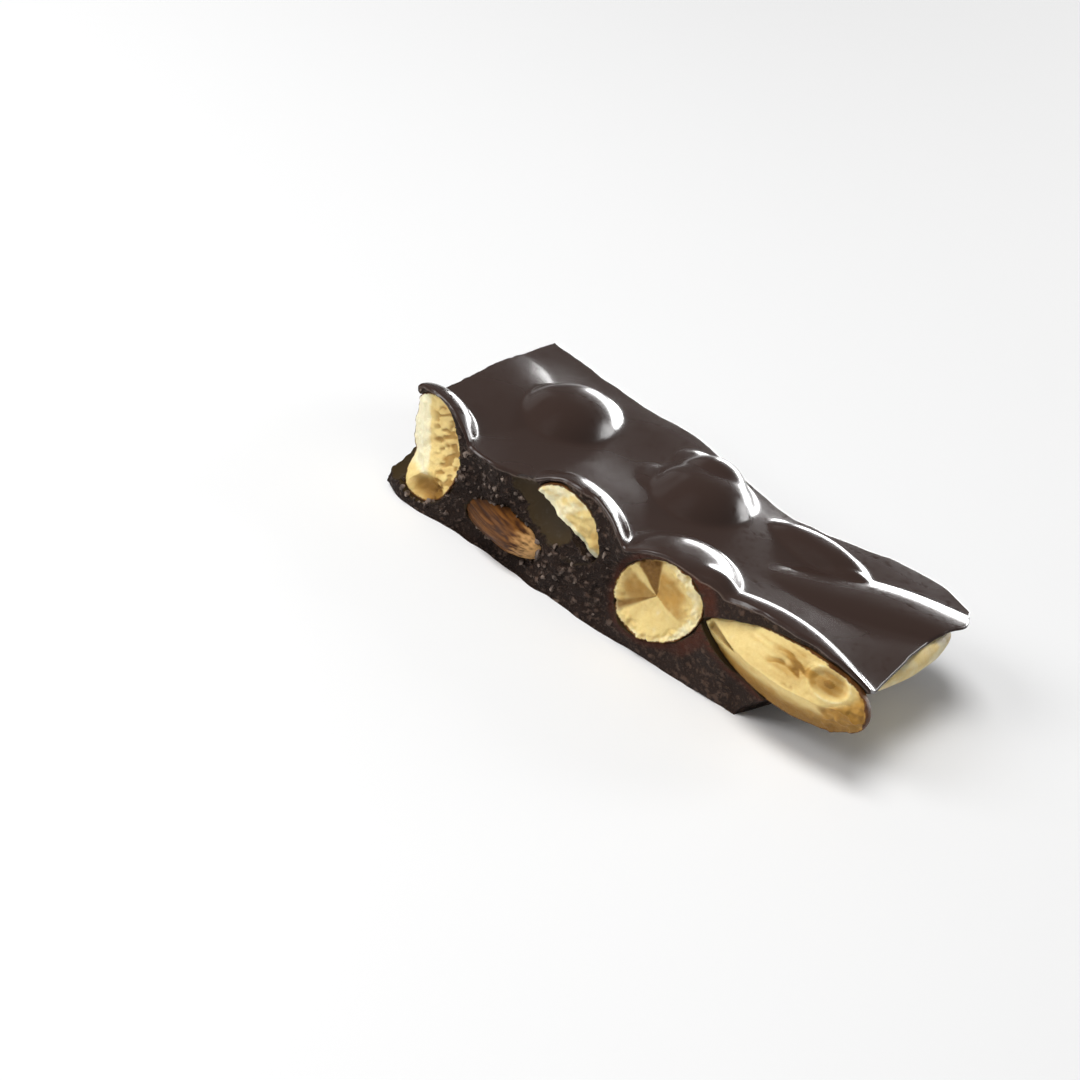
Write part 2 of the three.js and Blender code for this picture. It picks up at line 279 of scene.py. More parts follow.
def make_mesh(name, points, *face_groups):
    """A mesh from points in millimetres and arrays of faces, each array with one number of corners."""
    corners = np.concatenate([faces.ravel() for faces in face_groups])
    sizes = np.concatenate([np.full(len(faces), faces.shape[1]) for faces in face_groups])
    mesh = bpy.data.meshes.new(name)
    mesh.vertices.add(len(points))
    mesh.vertices.foreach_set("co", (points * MM).astype(np.float32).ravel())
    mesh.loops.add(len(corners))
    mesh.loops.foreach_set("vertex_index", corners.astype(np.int32))
    mesh.polygons.add(len(sizes))
    mesh.polygons.foreach_set("loop_start", (np.cumsum(sizes) - sizes).astype(np.int32))
    mesh.update(calc_edges=True)
    mesh.validate()
    return mesh


def make_object(name, mesh):
    """A new object at the origin, in the scene."""
    piece = bpy.data.objects.new(name, mesh)
    bpy.context.scene.collection.objects.link(piece)
    return piece


def grid_faces(numbers):
    """Quads between the neighbours in a two-way array of vertex numbers."""
    corners = [numbers[:-1, :-1], numbers[1:, :-1], numbers[1:, 1:], numbers[:-1, 1:]]
    return np.stack([corner.ravel() for corner in corners], axis=-1)


def ring_faces(rings, sectors):
    """Faces round rings of points that are followed by two end points: quads between the rings, and fans
    from the first ring and the last to their end points."""
    numbers = np.arange(rings * sectors).reshape(rings, sectors)
    numbers = np.concatenate([numbers, numbers[:, :1]], axis=1)
    first = stacked(rings * sectors, numbers[0, :-1], numbers[0, 1:])
    last = stacked(rings * sectors + 1, numbers[-1, 1:], numbers[-1, :-1])
    return grid_faces(numbers), np.concatenate([first, last]).astype(int)


def points_of(mesh):
    """The vertices of a mesh, in millimetres."""
    flat = np.empty(3 * len(mesh.vertices), np.float32)
    mesh.vertices.foreach_get("co", flat)
    return flat.reshape(-1, 3).astype(float) / MM


def store(mesh, name, values):
    """One number for each vertex, for a material to read."""
    attribute = mesh.attributes.new(name, "FLOAT", "POINT")
    attribute.data.foreach_set("value", np.broadcast_to(values, len(mesh.vertices)).astype(np.float32))


def carve(piece, cutters, operation):
    """Cuts the piece by each cutter, or keeps what they share, and removes the cutters. The exact solver
    takes over where the fast one changes nothing."""
    for cutter in cutters:
        before = len(piece.data.polygons)
        for solver in ("MANIFOLD", "EXACT"):
            modifier = piece.modifiers.new("carve", "BOOLEAN")
            modifier.operation = operation
            modifier.solver = solver
            modifier.object = cutter
            graph = bpy.context.evaluated_depsgraph_get()
            mesh = bpy.data.meshes.new_from_object(piece.evaluated_get(graph))
            piece.modifiers.clear()
            if len(mesh.polygons) not in (0, before):
                break
        else:
            raise RuntimeError(f"{piece.name} isn't cut by {cutter.name}")
        piece.data = mesh
        bpy.data.objects.remove(cutter)


def finish_piece(piece, material, sharp_degrees):
    """Shades the piece smooth up to an angle, gives it its material and slot, and lets it ride on the
    part."""
    mesh = piece.data
    mesh.name = piece.name
    mesh.polygons.foreach_set("use_smooth", np.ones(len(mesh.polygons), bool))
    mesh.set_sharp_from_angle(angle=math.radians(sharp_degrees))
    mesh.materials.clear()
    mesh.materials.append(material)
    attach(piece, "root")


# ---- The chocolate ---------------------------------------------------------------------------------------

def top_height(x, y):
    """Height of the poured top: the slab, a slow wave, and domes. The flank of a dome is 1 - r^SHOULDER, with
    r its share of the way to the foot, and blends into the slab as (t + root(t^2 + FILLET^2)) / 2."""
    (pace_x, start_x), (pace_y, start_y) = WAVE["x"], WAVE["y"]
    height = SLAB + WAVE["depth"] * np.sin(pace_x * x + start_x) * np.cos(pace_y * y + start_y)
    for dome in DOMES:
        along, across = turned(x - dome["at"][0], y - dome["at"][1], dome["turn"])
        t = 1 - np.hypot(along / dome["size"][0], across / dome["size"][1]) ** SHOULDER
        height = height + dome["rise"] * (t + np.sqrt(t * t + FILLET**2)) / 2
    return height


def in_plan(edges, u, v):
    """A place between four edge curves: u runs from the left end to the right, v from front to back."""
    y = mix(-HALF_WIDTH, HALF_WIDTH, v)
    x = mix(follow(edges["left"], y), follow(edges["right"], y), u)
    x = x + relief(FINE_RAG, stacked(ENDS_APART * u, y, 0)) * np.abs(2 * u - 1) ** ENDS_ONLY
    front_line = stacked(x, -HALF_WIDTH, 0)
    back_line = stacked(x, HALF_WIDTH, 0)
    front = follow(edges["front"], x) + relief(RAG, front_line) + relief(FINE_RAG, front_line)
    back = follow(edges["back"], x) + relief(RAG, back_line) + relief(FINE_RAG, back_line)
    return x, mix(front, back, v)


def crumbly(x, is_front):
    """How crumbly the break is: from fine at the right of the front wall to coarse at its left."""
    along_front = mix(CRUMBLINESS["fine"], CRUMBLINESS["coarse"], rise_between(x, *CRUMBLY_FROM))
    return np.where(is_front, along_front, CRUMBLINESS["elsewhere"])


def red_stain_and_shade(points):
    """How red the broken chocolate is, blotchy, from 0 to 1: reddened by the skins close round the round
    almond, and painted reddish shade along the underside of the long one."""
    x, _, z = points.T
    wide = -mix(STAIN_AND_SHADE["near"], STAIN_AND_SHADE["far"], rise_between(x, *STAIN_AND_SHADE["grows"]))
    near_round = rise_between(depth_in(ALMONDS["almond_round"], points), wide, wide + STAIN_AND_SHADE["fade"])
    # Under the long almond the red is painted reddish shade.
    start, end = STAIN_AND_SHADE["under"]
    shade_under_long = rise_between(depth_in(ALMONDS["almond_split"], points), -start, -end)
    shade_under_long = shade_under_long * rise_between(z, *STAIN_AND_SHADE["below"])
    return np.maximum(near_round, shade_under_long) * (0.7 + 0.3 * noise(points / STAIN_AND_SHADE["blotch"]))


def on_chocolate(u, v, w, is_front, lip):
    """A place on the block, where w goes from the foot up to the rim. A wall swings from its foot line to
    its rim line and is pushed in or out by crags, lumps and dents; the rim is rounded by a quarter circle
    whose radius is the lip."""
    foot_x, foot_y = in_plan(FOOT_EDGES, u, v)
    top_x, top_y = in_plan(TOP_EDGES, u, v)
    inward = 2 * np.minimum(np.minimum(u, 1 - u) * HALF_LENGTH, np.minimum(v, 1 - v) * HALF_WIDTH)
    short = np.clip(lip - inward, 0, lip)
    top_z = top_height(top_x, top_y) - (lip - np.sqrt(lip**2 - short**2))
    swing = w ** mix(SWING["front"], SWING["right"], u**4)
    points = stacked(mix(foot_x, top_x, swing), mix(foot_y, top_y, swing), w * top_z)
    x, y, z = points[..., 0], points[..., 1], points[..., 2]
    share = np.where(w < 1, np.sin(np.clip(math.pi * w, 0, math.pi)) ** CRAG_FADE, 0)
    coarse = crumbly(x, is_front)
    depth = relief(CRAG, points) + relief(GRAIN, points)
    depth = depth - coarse * (lumps(CRUMBS_COARSE, points) + lumps(CRUMBS_FINE, points))
    depth = share * depth
    for dent in DENTS:
        away = np.hypot((x - dent["x"]) / dent["width"], (z - dent["z"]) / dent["height"])
        fade = np.where(w > 0, 1 - w**DENT_FADE, 0)
        depth = depth + np.where(is_front, fade * dent["depth"] * fading(away, SHOULDER), 0)
    out = stacked(x - np.clip(x, *SPINE), y)
    out = out / np.linalg.norm(out, axis=-1, keepdims=True)
    points[..., :2] -= out * depth[..., None]
    return points


def block_mesh(cell, lip):
    """The top and the four walls as one lattice on a box, joined at its edges, with a flat underside."""
    counts = np.array([round(side / cell) for side in (2 * HALF_LENGTH, 2 * HALF_WIDTH, SLAB)])
    sides = []
    for across, up, fixed, at_end, flipped in (
        (0, 1, 2, 1, False),
        (0, 2, 1, 0, False),
        (0, 2, 1, 1, True),
        (1, 2, 0, 1, False),
        (1, 2, 0, 0, True),
    ):
        corners = np.zeros((counts[across] + 1, counts[up] + 1, 3), int)
        corners[..., across] = np.arange(counts[across] + 1)[:, None]
        corners[..., up] = np.arange(counts[up] + 1)[None, :]
        corners[..., fixed] = counts[fixed] * at_end
        sides.append(corners[::-1] if flipped else corners)
    lattice, numbers = np.unique(
        np.concatenate([side.reshape(-1, 3) for side in sides]), axis=0, return_inverse=True
    )
    numbers = numbers.ravel()
    starts = np.cumsum([0] + [side.shape[0] * side.shape[1] for side in sides])
    faces = [
        grid_faces(numbers[start:end].reshape(side.shape[:2]))
        for side, start, end in zip(sides, starts, starts[1:])
    ]
    u, v, w = (crowded(lattice[:, axis] / counts[axis]) for axis in range(3))
    points = on_chocolate(u, v, w, lattice[:, 1] == 0, lip)
    foot = np.flatnonzero(lattice[:, 2] == 0)
    i, j = lattice[foot, 0], lattice[foot, 1]
    last_i, last_j = counts[0], counts[1]
    round_the_foot = np.select(
        [i == 0, j == last_j, i == last_i],
        [j, last_j + i, last_i + 2 * last_j - j],
        2 * last_i + 2 * last_j - i,
    )
    underside = foot[np.argsort(round_the_foot)][None, :]
    return make_mesh("block", points, np.concatenate(faces), underside)


# ---- Kernels ---------------------------------------------------------------------------------------------

def axes_from(first, second):
    """Three unit directions from two: the first is kept and the second is made square to it."""
    a = Vector(first).normalized()
    b = Vector(second)
    b = (b - a * a.dot(b)).normalized()
    return np.array(a), np.array(b), np.array(a.cross(b))


def girth(s):
    """Half width of a kernel as a share of its widest, from its round end at 0 to its tip at 1: a circle's
    root, sharpened towards the tip, and narrowing evenly."""
    t = 2 * s - 1
    return np.clip(1 - t * t, 0, 1) ** (0.5 + TIP_SHARPNESS * s * s) * (1 - TIP_NARROWING * t)


def in_kernel(kernel, points):
    """Points as shares of the kernel's half sizes: across its width, along its length, through it."""
    length, width, thick = (value / 2 for value in kernel["size"])
    a, b, c = axes_from(kernel["tip"], kernel["thin"])
    away = points - np.array(kernel["at"], float)
    return away @ c / width, away @ a / length, away @ b / thick


def depth_in(kernel, points):
    """Millimetres below a kernel's surface, roughly: the missing share of its girth times its half size,
    less the way past an end."""
    across, along, through = in_kernel(kernel, points)
    reach = np.hypot(across, through)
    half = np.hypot(across * kernel["size"][1], through * kernel["size"][2]) / 2
    half = half / np.maximum(reach, LEAST_REACH)
    past = np.maximum(np.abs(along) - 1, 0) * kernel["size"][0] / 2
    return (girth((np.clip(along, -1, 1) + 1) / 2) - reach) * half - past


def kernel_mesh(kernel, cell, grow=0.0, skin=None):
    """A kernel as rings round its length: the girth at each place along it, as an ellipse of the kernel's
    width and thickness. skin(across, along, through) adds to the half size, in millimetres."""
    length, width, thick = (value / 2 + grow for value in kernel["size"])
    rings = max(LEAST_RINGS, round(2 * length / cell))
    sectors = max(LEAST_SECTORS, round(math.pi * (width + thick) / cell))
    s = (1 - np.cos(math.pi * np.arange(rings + 1) / rings)) / 2
    turn = -2 * math.pi * np.arange(sectors) / sectors
    s, turn = np.meshgrid(s[1:-1], turn, indexing="ij")
    across, along, through = girth(s) * np.sin(turn), 2 * s - 1, girth(s) * np.cos(turn)
    swell = 1 if skin is None else 1 + skin(across, along, through) * 2 / (width + thick)
    a, b, c = axes_from(kernel["tip"], kernel["thin"])
    at = np.array(kernel["at"], float)
    shell = at + stacked(across * swell * width) * c + stacked(along * length) * a
    shell = shell + stacked(through * swell * thick) * b
    points = np.concatenate([shell.reshape(-1, 3), [at - a * length, at + a * length]])
    return make_mesh("kernel", points, *ring_faces(*s.shape))


def cut_axes(cut):
    """The directions away from what a cut leaves, up its face, and to the right on it."""
    steep = abs(cut["out"][2]) > LEVEL
    away, up, side = axes_from(cut["out"], (0, 1, 0) if steep else (0, 0, 1))
    return away, up, -side


def on_cut(cut, points):
    """Where points lie on a cut: to the right, upwards, and out from it."""
    away, up, right = cut_axes(cut)
    offset = points - np.array(cut["at"], float)
    return offset @ right, offset @ up, offset @ away


def place_on(cut, sideways, upwards):
    """Places on the flat plane of a cut."""
    _, up, right = cut_axes(cut)
    return np.array(cut["at"], float) + stacked(sideways) * right + stacked(upwards) * up


def cut_face(cut, sideways, upwards):
    """How far a cut's face stands out at each place on it: the steepest of its slopes, bent back by the
    square of the way sideways, with the grain of the flesh and what the cut's own function adds."""
    flat = place_on(cut, sideways, upwards)
    face = np.max([s * sideways + t * upwards for s, t in cut["slopes"]], axis=0)
    face = face - cut.get("bend", 0) * sideways**2 + cut.get("grain", 1) * relief(GRAIN, flat)
    return face + (cut["detail"](flat, sideways, upwards) if "detail" in cut else 0.0)


def behind_cut(cut, cell):
    """The block that a cut leaves: a grid over its face, walls from its edge straight back, and a flat
    back."""
    half_side, half_up = cut["reach"]
    sideways, upwards = np.meshgrid(
        np.linspace(-half_side, half_side, round(2 * half_side / cell)),
        np.linspace(-half_up, half_up, round(2 * half_up / cell)),
        indexing="ij",
    )
    away = cut_axes(cut)[0]
    points = place_on(cut, sideways, upwards) + stacked(cut_face(cut, sideways, upwards)) * away
    numbers = np.arange(sideways.size).reshape(sideways.shape)
    edge = np.concatenate([numbers[:-1, 0], numbers[-1, :-1], numbers[:0:-1, -1], numbers[0, :0:-1]])
    behind = points.reshape(-1, 3)[edge] - 2 * (half_side + half_up) * away
    back = np.arange(len(edge)) + sideways.size
    walls = np.stack([edge, back, np.roll(back, -1), np.roll(edge, -1)], axis=-1)
    points = np.concatenate([points.reshape(-1, 3), behind])
    return make_mesh("behind", points, grid_faces(numbers), walls, back[::-1][None, :])


def from_edge(kernel, points):
    """How far each point of a broken kernel is from the edge of its break, in millimetres: its depth under
    the kernel's surface over how fast that depth changes along the break; 0 on the skin."""
    distance = np.zeros(len(points))
    for cut in kernel["cuts"]:
        _, up, right = cut_axes(cut)
        sideways, upwards, out = on_cut(cut, points)
        on_face = np.abs(out - cut_face(cut, sideways, upwards)) < ON_FACE
        ahead = [depth_in(kernel, points + STEP * way) for way in (up, right)]
        behind = [depth_in(kernel, points - STEP * way) for way in (up, right)]
        slope = np.hypot(ahead[0] - behind[0], ahead[1] - behind[1]) / (2 * STEP)
        reach = np.maximum(depth_in(kernel, points), 0) / np.maximum(slope, LEAST_SLOPE)
        distance = np.where(on_face, reach, distance)
    return distance


def socket_mesh(kernel, cell, gap):
    """The room of an almond in the chocolate: the kernel grown by the gap, and cut where the chocolate
    fits closely to a break."""
    room = make_object("socket", kernel_mesh(kernel, cell, gap))
    for cut in kernel["cuts"]:
        if cut.get("close"):
            away = cut_axes(cut)[0]
            moved = dict(cut, at=tuple(np.array(cut["at"], float) + CLOSE_GAP * away))
            carve(room, [make_object("cut", behind_cut(moved, cell))], "INTERSECT")
    return room


# ---- Breaks of the almonds -------------------------------------------------------------------------------

def away_from(oval, sideways, upwards):
    """Share of the way from the middle of an oval to its outline."""
    return np.hypot((sideways - oval["right"]) / oval["length"], (upwards - oval["up"]) / oval["height"])


def grainy(points, sideways, upwards):
    """The grain of broken flesh."""
    return relief(FLESH_GRAIN, points)


STROKE_LEAN = 34  # degrees, of the brown strokes at the left end
STROKE = dict(right=0.05, up=1.45, length=0.8, height=0.36)  # the strongest of them
CLEAN_LEAN = 0.42  # how far the line between the clean and the stroked side leans
HOLLOW = dict(right=1.6, up=-4.5, length=2.3, height=1.4)


def strokes(sideways, upwards):
    """Short strokes that lean to the right on the break at the left end, from 0 to 1, with one strong one."""
    along, across = turned(sideways, upwards, STROKE_LEAN)
    rough = noise(stacked(along / 1.0, across / 0.45, 5.0))
    rough = rough + 0.4 * noise(stacked(along / 0.4, across / 0.25, 1.0))
    fine = rise_between(rough, -0.05, 0.6)
    fine = fine * rise_between(sideways + CLEAN_LEAN * upwards, -0.6, 0.8)
    middle, level = turned(STROKE["right"], STROKE["up"], STROKE_LEAN)
    strong = np.hypot((along - middle) / STROKE["length"], (across - level) / STROKE["height"])
    return np.maximum(0.75 * fine, fading(strong, 4))


def end_hollow(sideways, upwards):
    """The hollow near the lower end of that break, from 0 to 1."""
    return fading(away_from(HOLLOW, sideways, upwards), 4)


def pitted(points, sideways, upwards):
    """Shallow strokes and one deeper hollow."""
    hollows = 0.25 * strokes(sideways, upwards) + 1.2 * end_hollow(sideways, upwards)
    return grainy(points, sideways, upwards) - hollows


def faceted(points, sideways, upwards):
    """Shell-like facets: a ridge that falls from the middle to the lower right, and a crumbled rim."""
    reach = np.hypot(sideways, upwards)
    ridge = 0.3 * fading((upwards + 0.4 * sideways) / 0.5) * rise_between(sideways, -0.4, 0.6)
    ridge = ridge * rise_between(reach, 4.6, 2.0)
    crumbled = (0.3 * noise(points / 0.7) + 0.22 * noise(points / 0.35)) * rise_between(reach, 3.4, 4.8)
    return 0.5 * grainy(points, sideways, upwards) + ridge + crumbled


def torn(points):
    """The rough relief of a torn tip."""
    return 0.4 * noise(points / 1.1) + 0.16 * noise(points / 0.5)


def granular(points, sideways, upwards):
    """Coarse grain all over."""
    return 1.6 * relief(FLESH_GRAIN, points) + 0.2 * noise(points / 1.6)


GERM = dict(right=5.8, up=3.1, length=2.6, height=1.75)  # the oval print of the germ on the split face
GERM_RING = 0.14  # width of the ring round it, as a share of the way out
FLAMES = dict(right=1.7, up=2.3, length=3.1, height=2.0)  # where the brown folds beside the germ lie
SLOT = dict(left=-10.0, right=-5.0, half=0.6, depth=0.8)  # the gap between the halves at the left end
SLOT_LINE = dict(up=1.1, falls=0.22)  # its height at the left, and how steeply it falls from there
BROKEN_TIP = (5.6, 7.2)  # where the split face turns into a rough break


def germ_ring(sideways, upwards):
    """The raised ring round the print of the germ, from 0 to 1."""
    return fading((away_from(GERM, sideways, upwards) - 1) / GERM_RING)


def long_streaks(sideways, upwards):
    """Streaks along the split face, from -1 to 1."""
    return noise(stacked(sideways / 3.5, upwards / 0.4, 2.0))


def in_slot(sideways, upwards):
    """The wedge-shaped slot between the halves at the left end, from 0 to 1."""
    along = (sideways - SLOT["left"]) / (SLOT["right"] - SLOT["left"])
    half = SLOT["half"] * np.clip(1 - along, 0.02, 1)
    line = upwards - (SLOT_LINE["up"] - SLOT_LINE["falls"] * (sideways - SLOT["left"]))
    return rise_between(along, 0.0, 0.1) * rise_between(along, 1.0, 0.8) * fading(line / half, 4)


def at_tip(sideways, upwards):
    """The broken tip at the right end, which begins further left low down, from 0 to 1."""
    return rise_between(sideways - 1.15 * np.clip(upwards - 0.2, 0, 2.5), *BROKEN_TIP)


def flame_share(sideways, upwards):
    """Curled folds beside the germ, from 0 to 1: noise on places that are shifted by other noise."""
    shift = noise(stacked(sideways / 1.6, upwards / 1.6, 8.0))
    curls = noise(stacked(sideways / 1.5 + shift, upwards / 0.6 + 1.4 * shift, 3.0))
    away = away_from(FLAMES, sideways, upwards)
    return (0.35 + 0.65 * rise_between(curls, -0.3, 0.25)) * fading(away, 4)


def split(points, sideways, upwards):
    """A smooth split face: raised are the ring and the middle of the germ's print, fine streaks and the torn
    right end, and sunk are the print, the folds beside it and the slot between the halves."""
    away = away_from(GERM, sideways, upwards)
    raised = 0.24 * germ_ring(sideways, upwards) + 0.3 * fading(away / 0.3)
    raised = raised + 0.05 * long_streaks(sideways, upwards) + torn(points) * at_tip(sideways, upwards)
    sunk = 0.35 * rise_between(away, 0.9, 0.6) + 0.22 * flame_share(sideways, upwards)
    sunk = sunk + SLOT["depth"] * in_slot(sideways, upwards)
    return 0.3 * grainy(points, sideways, upwards) + raised - sunk


def split_low(points, sideways, upwards):
    """The lower, smoother side of the split, rough at its right end."""
    rough = torn(points) * rise_between(sideways, *BROKEN_TIP)
    return 0.3 * grainy(points, sideways, upwards) + rough


ALMONDS = dict(
    almond_left_end=dict(
        size=(13, 12.8, 9.0), at=(-28.6, -14.6, 7.3), tip=(0.04, 1, 0), thin=(0.92, 0, 0.39),
        cuts=[
            dict(
                at=(-28.0, -15.0, 7.2), out=(-0.05, -1, 0), slopes=[(0, 0), (0.1, -0.25)],
                reach=(6.0, 8.5), detail=pitted,
            ),
            dict(
                at=(-28.8, -15.0, 4.2), out=(-0.61, -0.77, -0.2), slopes=[(0, 0), (0, -0.8)],
                reach=(14.0, 12.0), detail=grainy,
            ),
        ],
    ),
    almond_half=dict(
        size=(20, 10.4, 6.8), at=(-9.0, -12.3, 8.4), tip=(0, 1, -0.2), thin=(0.36, 0, 0.93),
        cuts=[
            dict(
                at=(-9.0, -14.6, 8.8), out=(0.1, -1, 0.1), slopes=[(0.05, 0.1), (-0.1, -0.15)],
                reach=(6.5, 5.5), detail=granular,
            ),
            dict(
                at=(-9.0, -12.3, 8.7), out=(-0.36, 0, -0.933), slopes=[(0, 0)],
                reach=(7.0, 12.0), grain=0.2, close=True,
            ),
        ],
    ),
    almond_round=dict(
        size=(22, 11.4, 9.9), at=(5.2, -13.6, 7.6), tip=(0, 1, 0), thin=(0.64, 0, -0.77),
        cuts=[
            dict(
                at=(4.6, -14.6, 7.5), out=(0, -1, 0),
                slopes=[(0, -0.3), (-0.02, 0.24), (-0.26, 0.05), (0.12, 0.06)],
                reach=(7.5, 7.0), detail=faceted,
            ),
        ],
    ),
    almond_split=dict(
        size=(22.4, 8.7, 7.0), at=(21.8, -14.2, 8.4), tip=(-1, -0.07, 0), thin=(0, 1, 0),
        cuts=[
            dict(
                at=(21.6, -16.8, 8.2), out=(0, -0.9, 0.42), slopes=[(0, 0), (0.05, -0.06)], bend=0.018,
                reach=(13.0, 7.0), detail=split, grain=0.5,
            ),
            dict(
                at=(21.6, -16.8, 8.2), out=(0, -0.86, -0.52), slopes=[(0, 0)], bend=0.018,
                reach=(13.0, 7.0), detail=split_low, grain=0.5,
            ),
        ],
    ),
    almond_in_skin=dict(
        size=(18.4, 9.4, 5.0), at=(-18.7, -11.4, 3.3), tip=(-0.92, 0.39, -0.03), thin=(0, 0, 1), cuts=[],
    ),
    almond_right_end=dict(
        size=(22.8, 7.2, 4.4), at=(28.6, 1.9, 7.7), tip=(-0.04, -1, -0.03), thin=(0.69, 0, -0.72), cuts=[],
    ),
)


def wrinkled(across, along, through):
    """Long wrinkles of the skin: noise that is fine round the kernel and stretched along it."""
    fine = noise(stacked(9 * across, 1.6 * along, 9 * through))
    coarse = noise(stacked(4 * across, 1.2 * along + 7, 4 * through))
    return 0.1 * fine + 0.12 * coarse


def rubbed(across, along, through):
    """The uneven side of a kernel whose skin came off with the chocolate."""
    return 0.1 * noise(stacked(3 * across, 5 * along, 3 * through))


# Each paint gives two shares for the places on an almond. Gold runs from PALE through cream at 0 to deep gold
# at 1, and brown says how toasted they are, and where shade is painted into hollows, slots, creases and faces
# turned downwards.
PALE = -0.6
# Facets of the break of the round almond: the way they point in degrees, where they end round the middle and
# away from it, and how gold and how brown they are.
FACETS = [
    # The brown wedge at the top: painted shade on a facet that faces downwards.
    dict(towards=118, ends=(24, 16), rim=(5.4, 4.4), gold=0.9, brown=1.0),
    dict(towards=192, ends=(42, 28), rim=(5.0, 3.2), gold=0.7, brown=0.4),
    dict(towards=40, ends=(60, 52), rim=(4.8, 2.8), gold=0.75, brown=0.12),
    # The dark crease: painted shade.
    dict(towards=222, ends=(12, 2), rim=(5.6, 4.8), gold=0.0, brown=0.85),
]


def paint_left_end(points):
    """Near white on the left, gold on the right with brown strokes, and a brown-gold hollow of painted shade.
    """
    sideways, upwards, _ = on_cut(ALMONDS["almond_left_end"]["cuts"][0], points)
    clean = rise_between(sideways + CLEAN_LEAN * upwards, 0.0, -1.3) * rise_between(upwards, -4.6, -2.6)
    marks = strokes(sideways, upwards)
    hollow = end_hollow(sideways, upwards)
    # The brown-gold in the hollow is painted shade.
    gold = 0.2 + 0.5 * marks + 0.8 * hollow + 0.25 * noise(points / 0.9)
    return mix(gold, PALE, clean), (0.62 * marks + 0.7 * hollow) * (1 - clean)


def paint_half(points):
    """Pale at the upper left and along the flat side, greyer gold at the lower right."""
    face, flat = ALMONDS["almond_half"]["cuts"]
    sideways, upwards, _ = on_cut(face, points)
    low = rise_between(sideways - upwards, -4.0, 5.0)
    border = rise_between(on_cut(flat, points)[2], -0.9, -0.2)
    gold = mix(-0.3, 0.42, low) + 0.3 * noise(points / 0.7)
    return mix(gold, PALE, border), 0.16 * low * (1 - border)


def turned_from(sideways, upwards, degrees):
    """Degrees between the way to each place and a direction on the face."""
    angle = np.degrees(np.arctan2(upwards, sideways))
    return np.abs((angle - degrees + 180) % 360 - 180)


def paint_round(points):
    """Facets in different depths of gold: a brown wedge at the top, painted shade on a facet turned
    downwards, olive gold at the left, tan at the right, and a dark crease of painted shade, with a painted
    highlight along the rim."""
    sideways, upwards, _ = on_cut(ALMONDS["almond_round"]["cuts"][0], points)
    reach = np.hypot(sideways, upwards)
    gold = 0.05 + 0.2 * noise(points / 0.8)
    brown = np.zeros(len(points))
    for facet in FACETS:
        share = rise_between(turned_from(sideways, upwards, facet["towards"]), *facet["ends"])
        share = share * rise_between(reach, *facet["rim"])
        gold = gold + facet["gold"] * share
        brown = np.maximum(brown, facet["brown"] * share)
    # Paler along the rim: a painted highlight.
    painted_rim_highlight = 0.3 * rise_between(reach, 4.2, 5.0)
    return gold - painted_rim_highlight, np.clip(brown + 0.12 * noise(points / 0.5) * (brown > 0.05), 0, 1)


def paint_split(points):
    """Cream and gold streaks along the split face, brown flames beside the germ, a dark slot at the left end
    and a lower side that darkens downwards, both painted shade, and an orange-brown broken tip."""
    upper, lower = ALMONDS["almond_split"]["cuts"]
    sideways, upwards, _ = on_cut(upper, points)
    away = away_from(GERM, sideways, upwards)
    flames = flame_share(sideways, upwards)
    ring = germ_ring(sideways, upwards)
    eye = fading(away / 0.8, 4)
    spotty = rise_between(noise(points / 0.8), -0.4, 0.3)
    tip = at_tip(sideways, upwards)
    # Darker down the lower side of the split: painted shade.
    under = rise_between(on_cut(lower, points)[1], -0.8, -3.8) * (upwards < 0)
    gold = 0.12 + 0.25 * long_streaks(sideways, upwards) - 0.3 * ring
    gold = gold + np.max([flames, 0.6 * eye, 0.9 * under, tip], axis=0)
    # The dark in the slot between the halves is painted shade.
    brown = [
        0.72 * flames**2, 0.45 * eye + 0.3 * (away < 0.25), 0.75 * under, 0.7 * in_slot(sideways, upwards),
        tip * (0.05 + 0.55 * spotty),
    ]
    return gold, np.max(brown, axis=0) * (1 - 0.8 * ring)


def paint_right_end(points):
    """Pale tan all along, a little browner at both ends."""
    ends = rise_between(np.abs(points[:, 1] - 1.0), 4.0, 8.0)
    return -0.25 + 0.3 * noise(points / 1.3), 0.1 + 0.3 * ends + 0.08 * noise(points / 0.8)


PAINTS = dict(
    almond_left_end=paint_left_end,
    almond_half=paint_half,
    almond_round=paint_round,
    almond_split=paint_split,
    almond_right_end=paint_right_end,
)


# ---- Shader helpers --------------------------------------------------------------------------------------

def add_node(tree, kind, inputs=None, **settings):
    """A node with its settings, its input values and its links."""
    node = tree.nodes.new(kind)
    for name, value in settings.items():
        setattr(node, name, value)
    for name, value in (inputs or {}).items():
        if isinstance(value, bpy.types.NodeSocket):
            tree.links.new(value, node.inputs[name])
        else:
            node.inputs[name].default_value = value
    return node


def blended(tree, factor, first, second):
    """A colour between two, by a factor socket."""
    first, second = (tuple(c) if not isinstance(c, bpy.types.NodeSocket) else c for c in (first, second))
    node = add_node(tree, "ShaderNodeMix", {0: factor, 6: first, 7: second}, data_type="RGBA")
    return node.outputs[2]


def calculated(tree, operation, *values):
    """The result of a Math node."""
    node = add_node(tree, "ShaderNodeMath", dict(enumerate(values)), operation=operation)
    return node.outputs[0]


def ranged(tree, value, low, high, to_low=0.0, to_high=1.0):
    """A value moved from one range to another, smoothly and without leaving it."""
    node = add_node(
        tree,
        "ShaderNodeMapRange",
        {"Value": value, "From Min": low, "From Max": high, "To Min": to_low, "To Max": to_high},
        interpolation_type="SMOOTHSTEP",
    )
    return node.outputs["Result"]


def attribute_of(tree, name):
    """The number that store wrote to each vertex."""
    return add_node(tree, "ShaderNodeAttribute", attribute_name=name).outputs["Fac"]


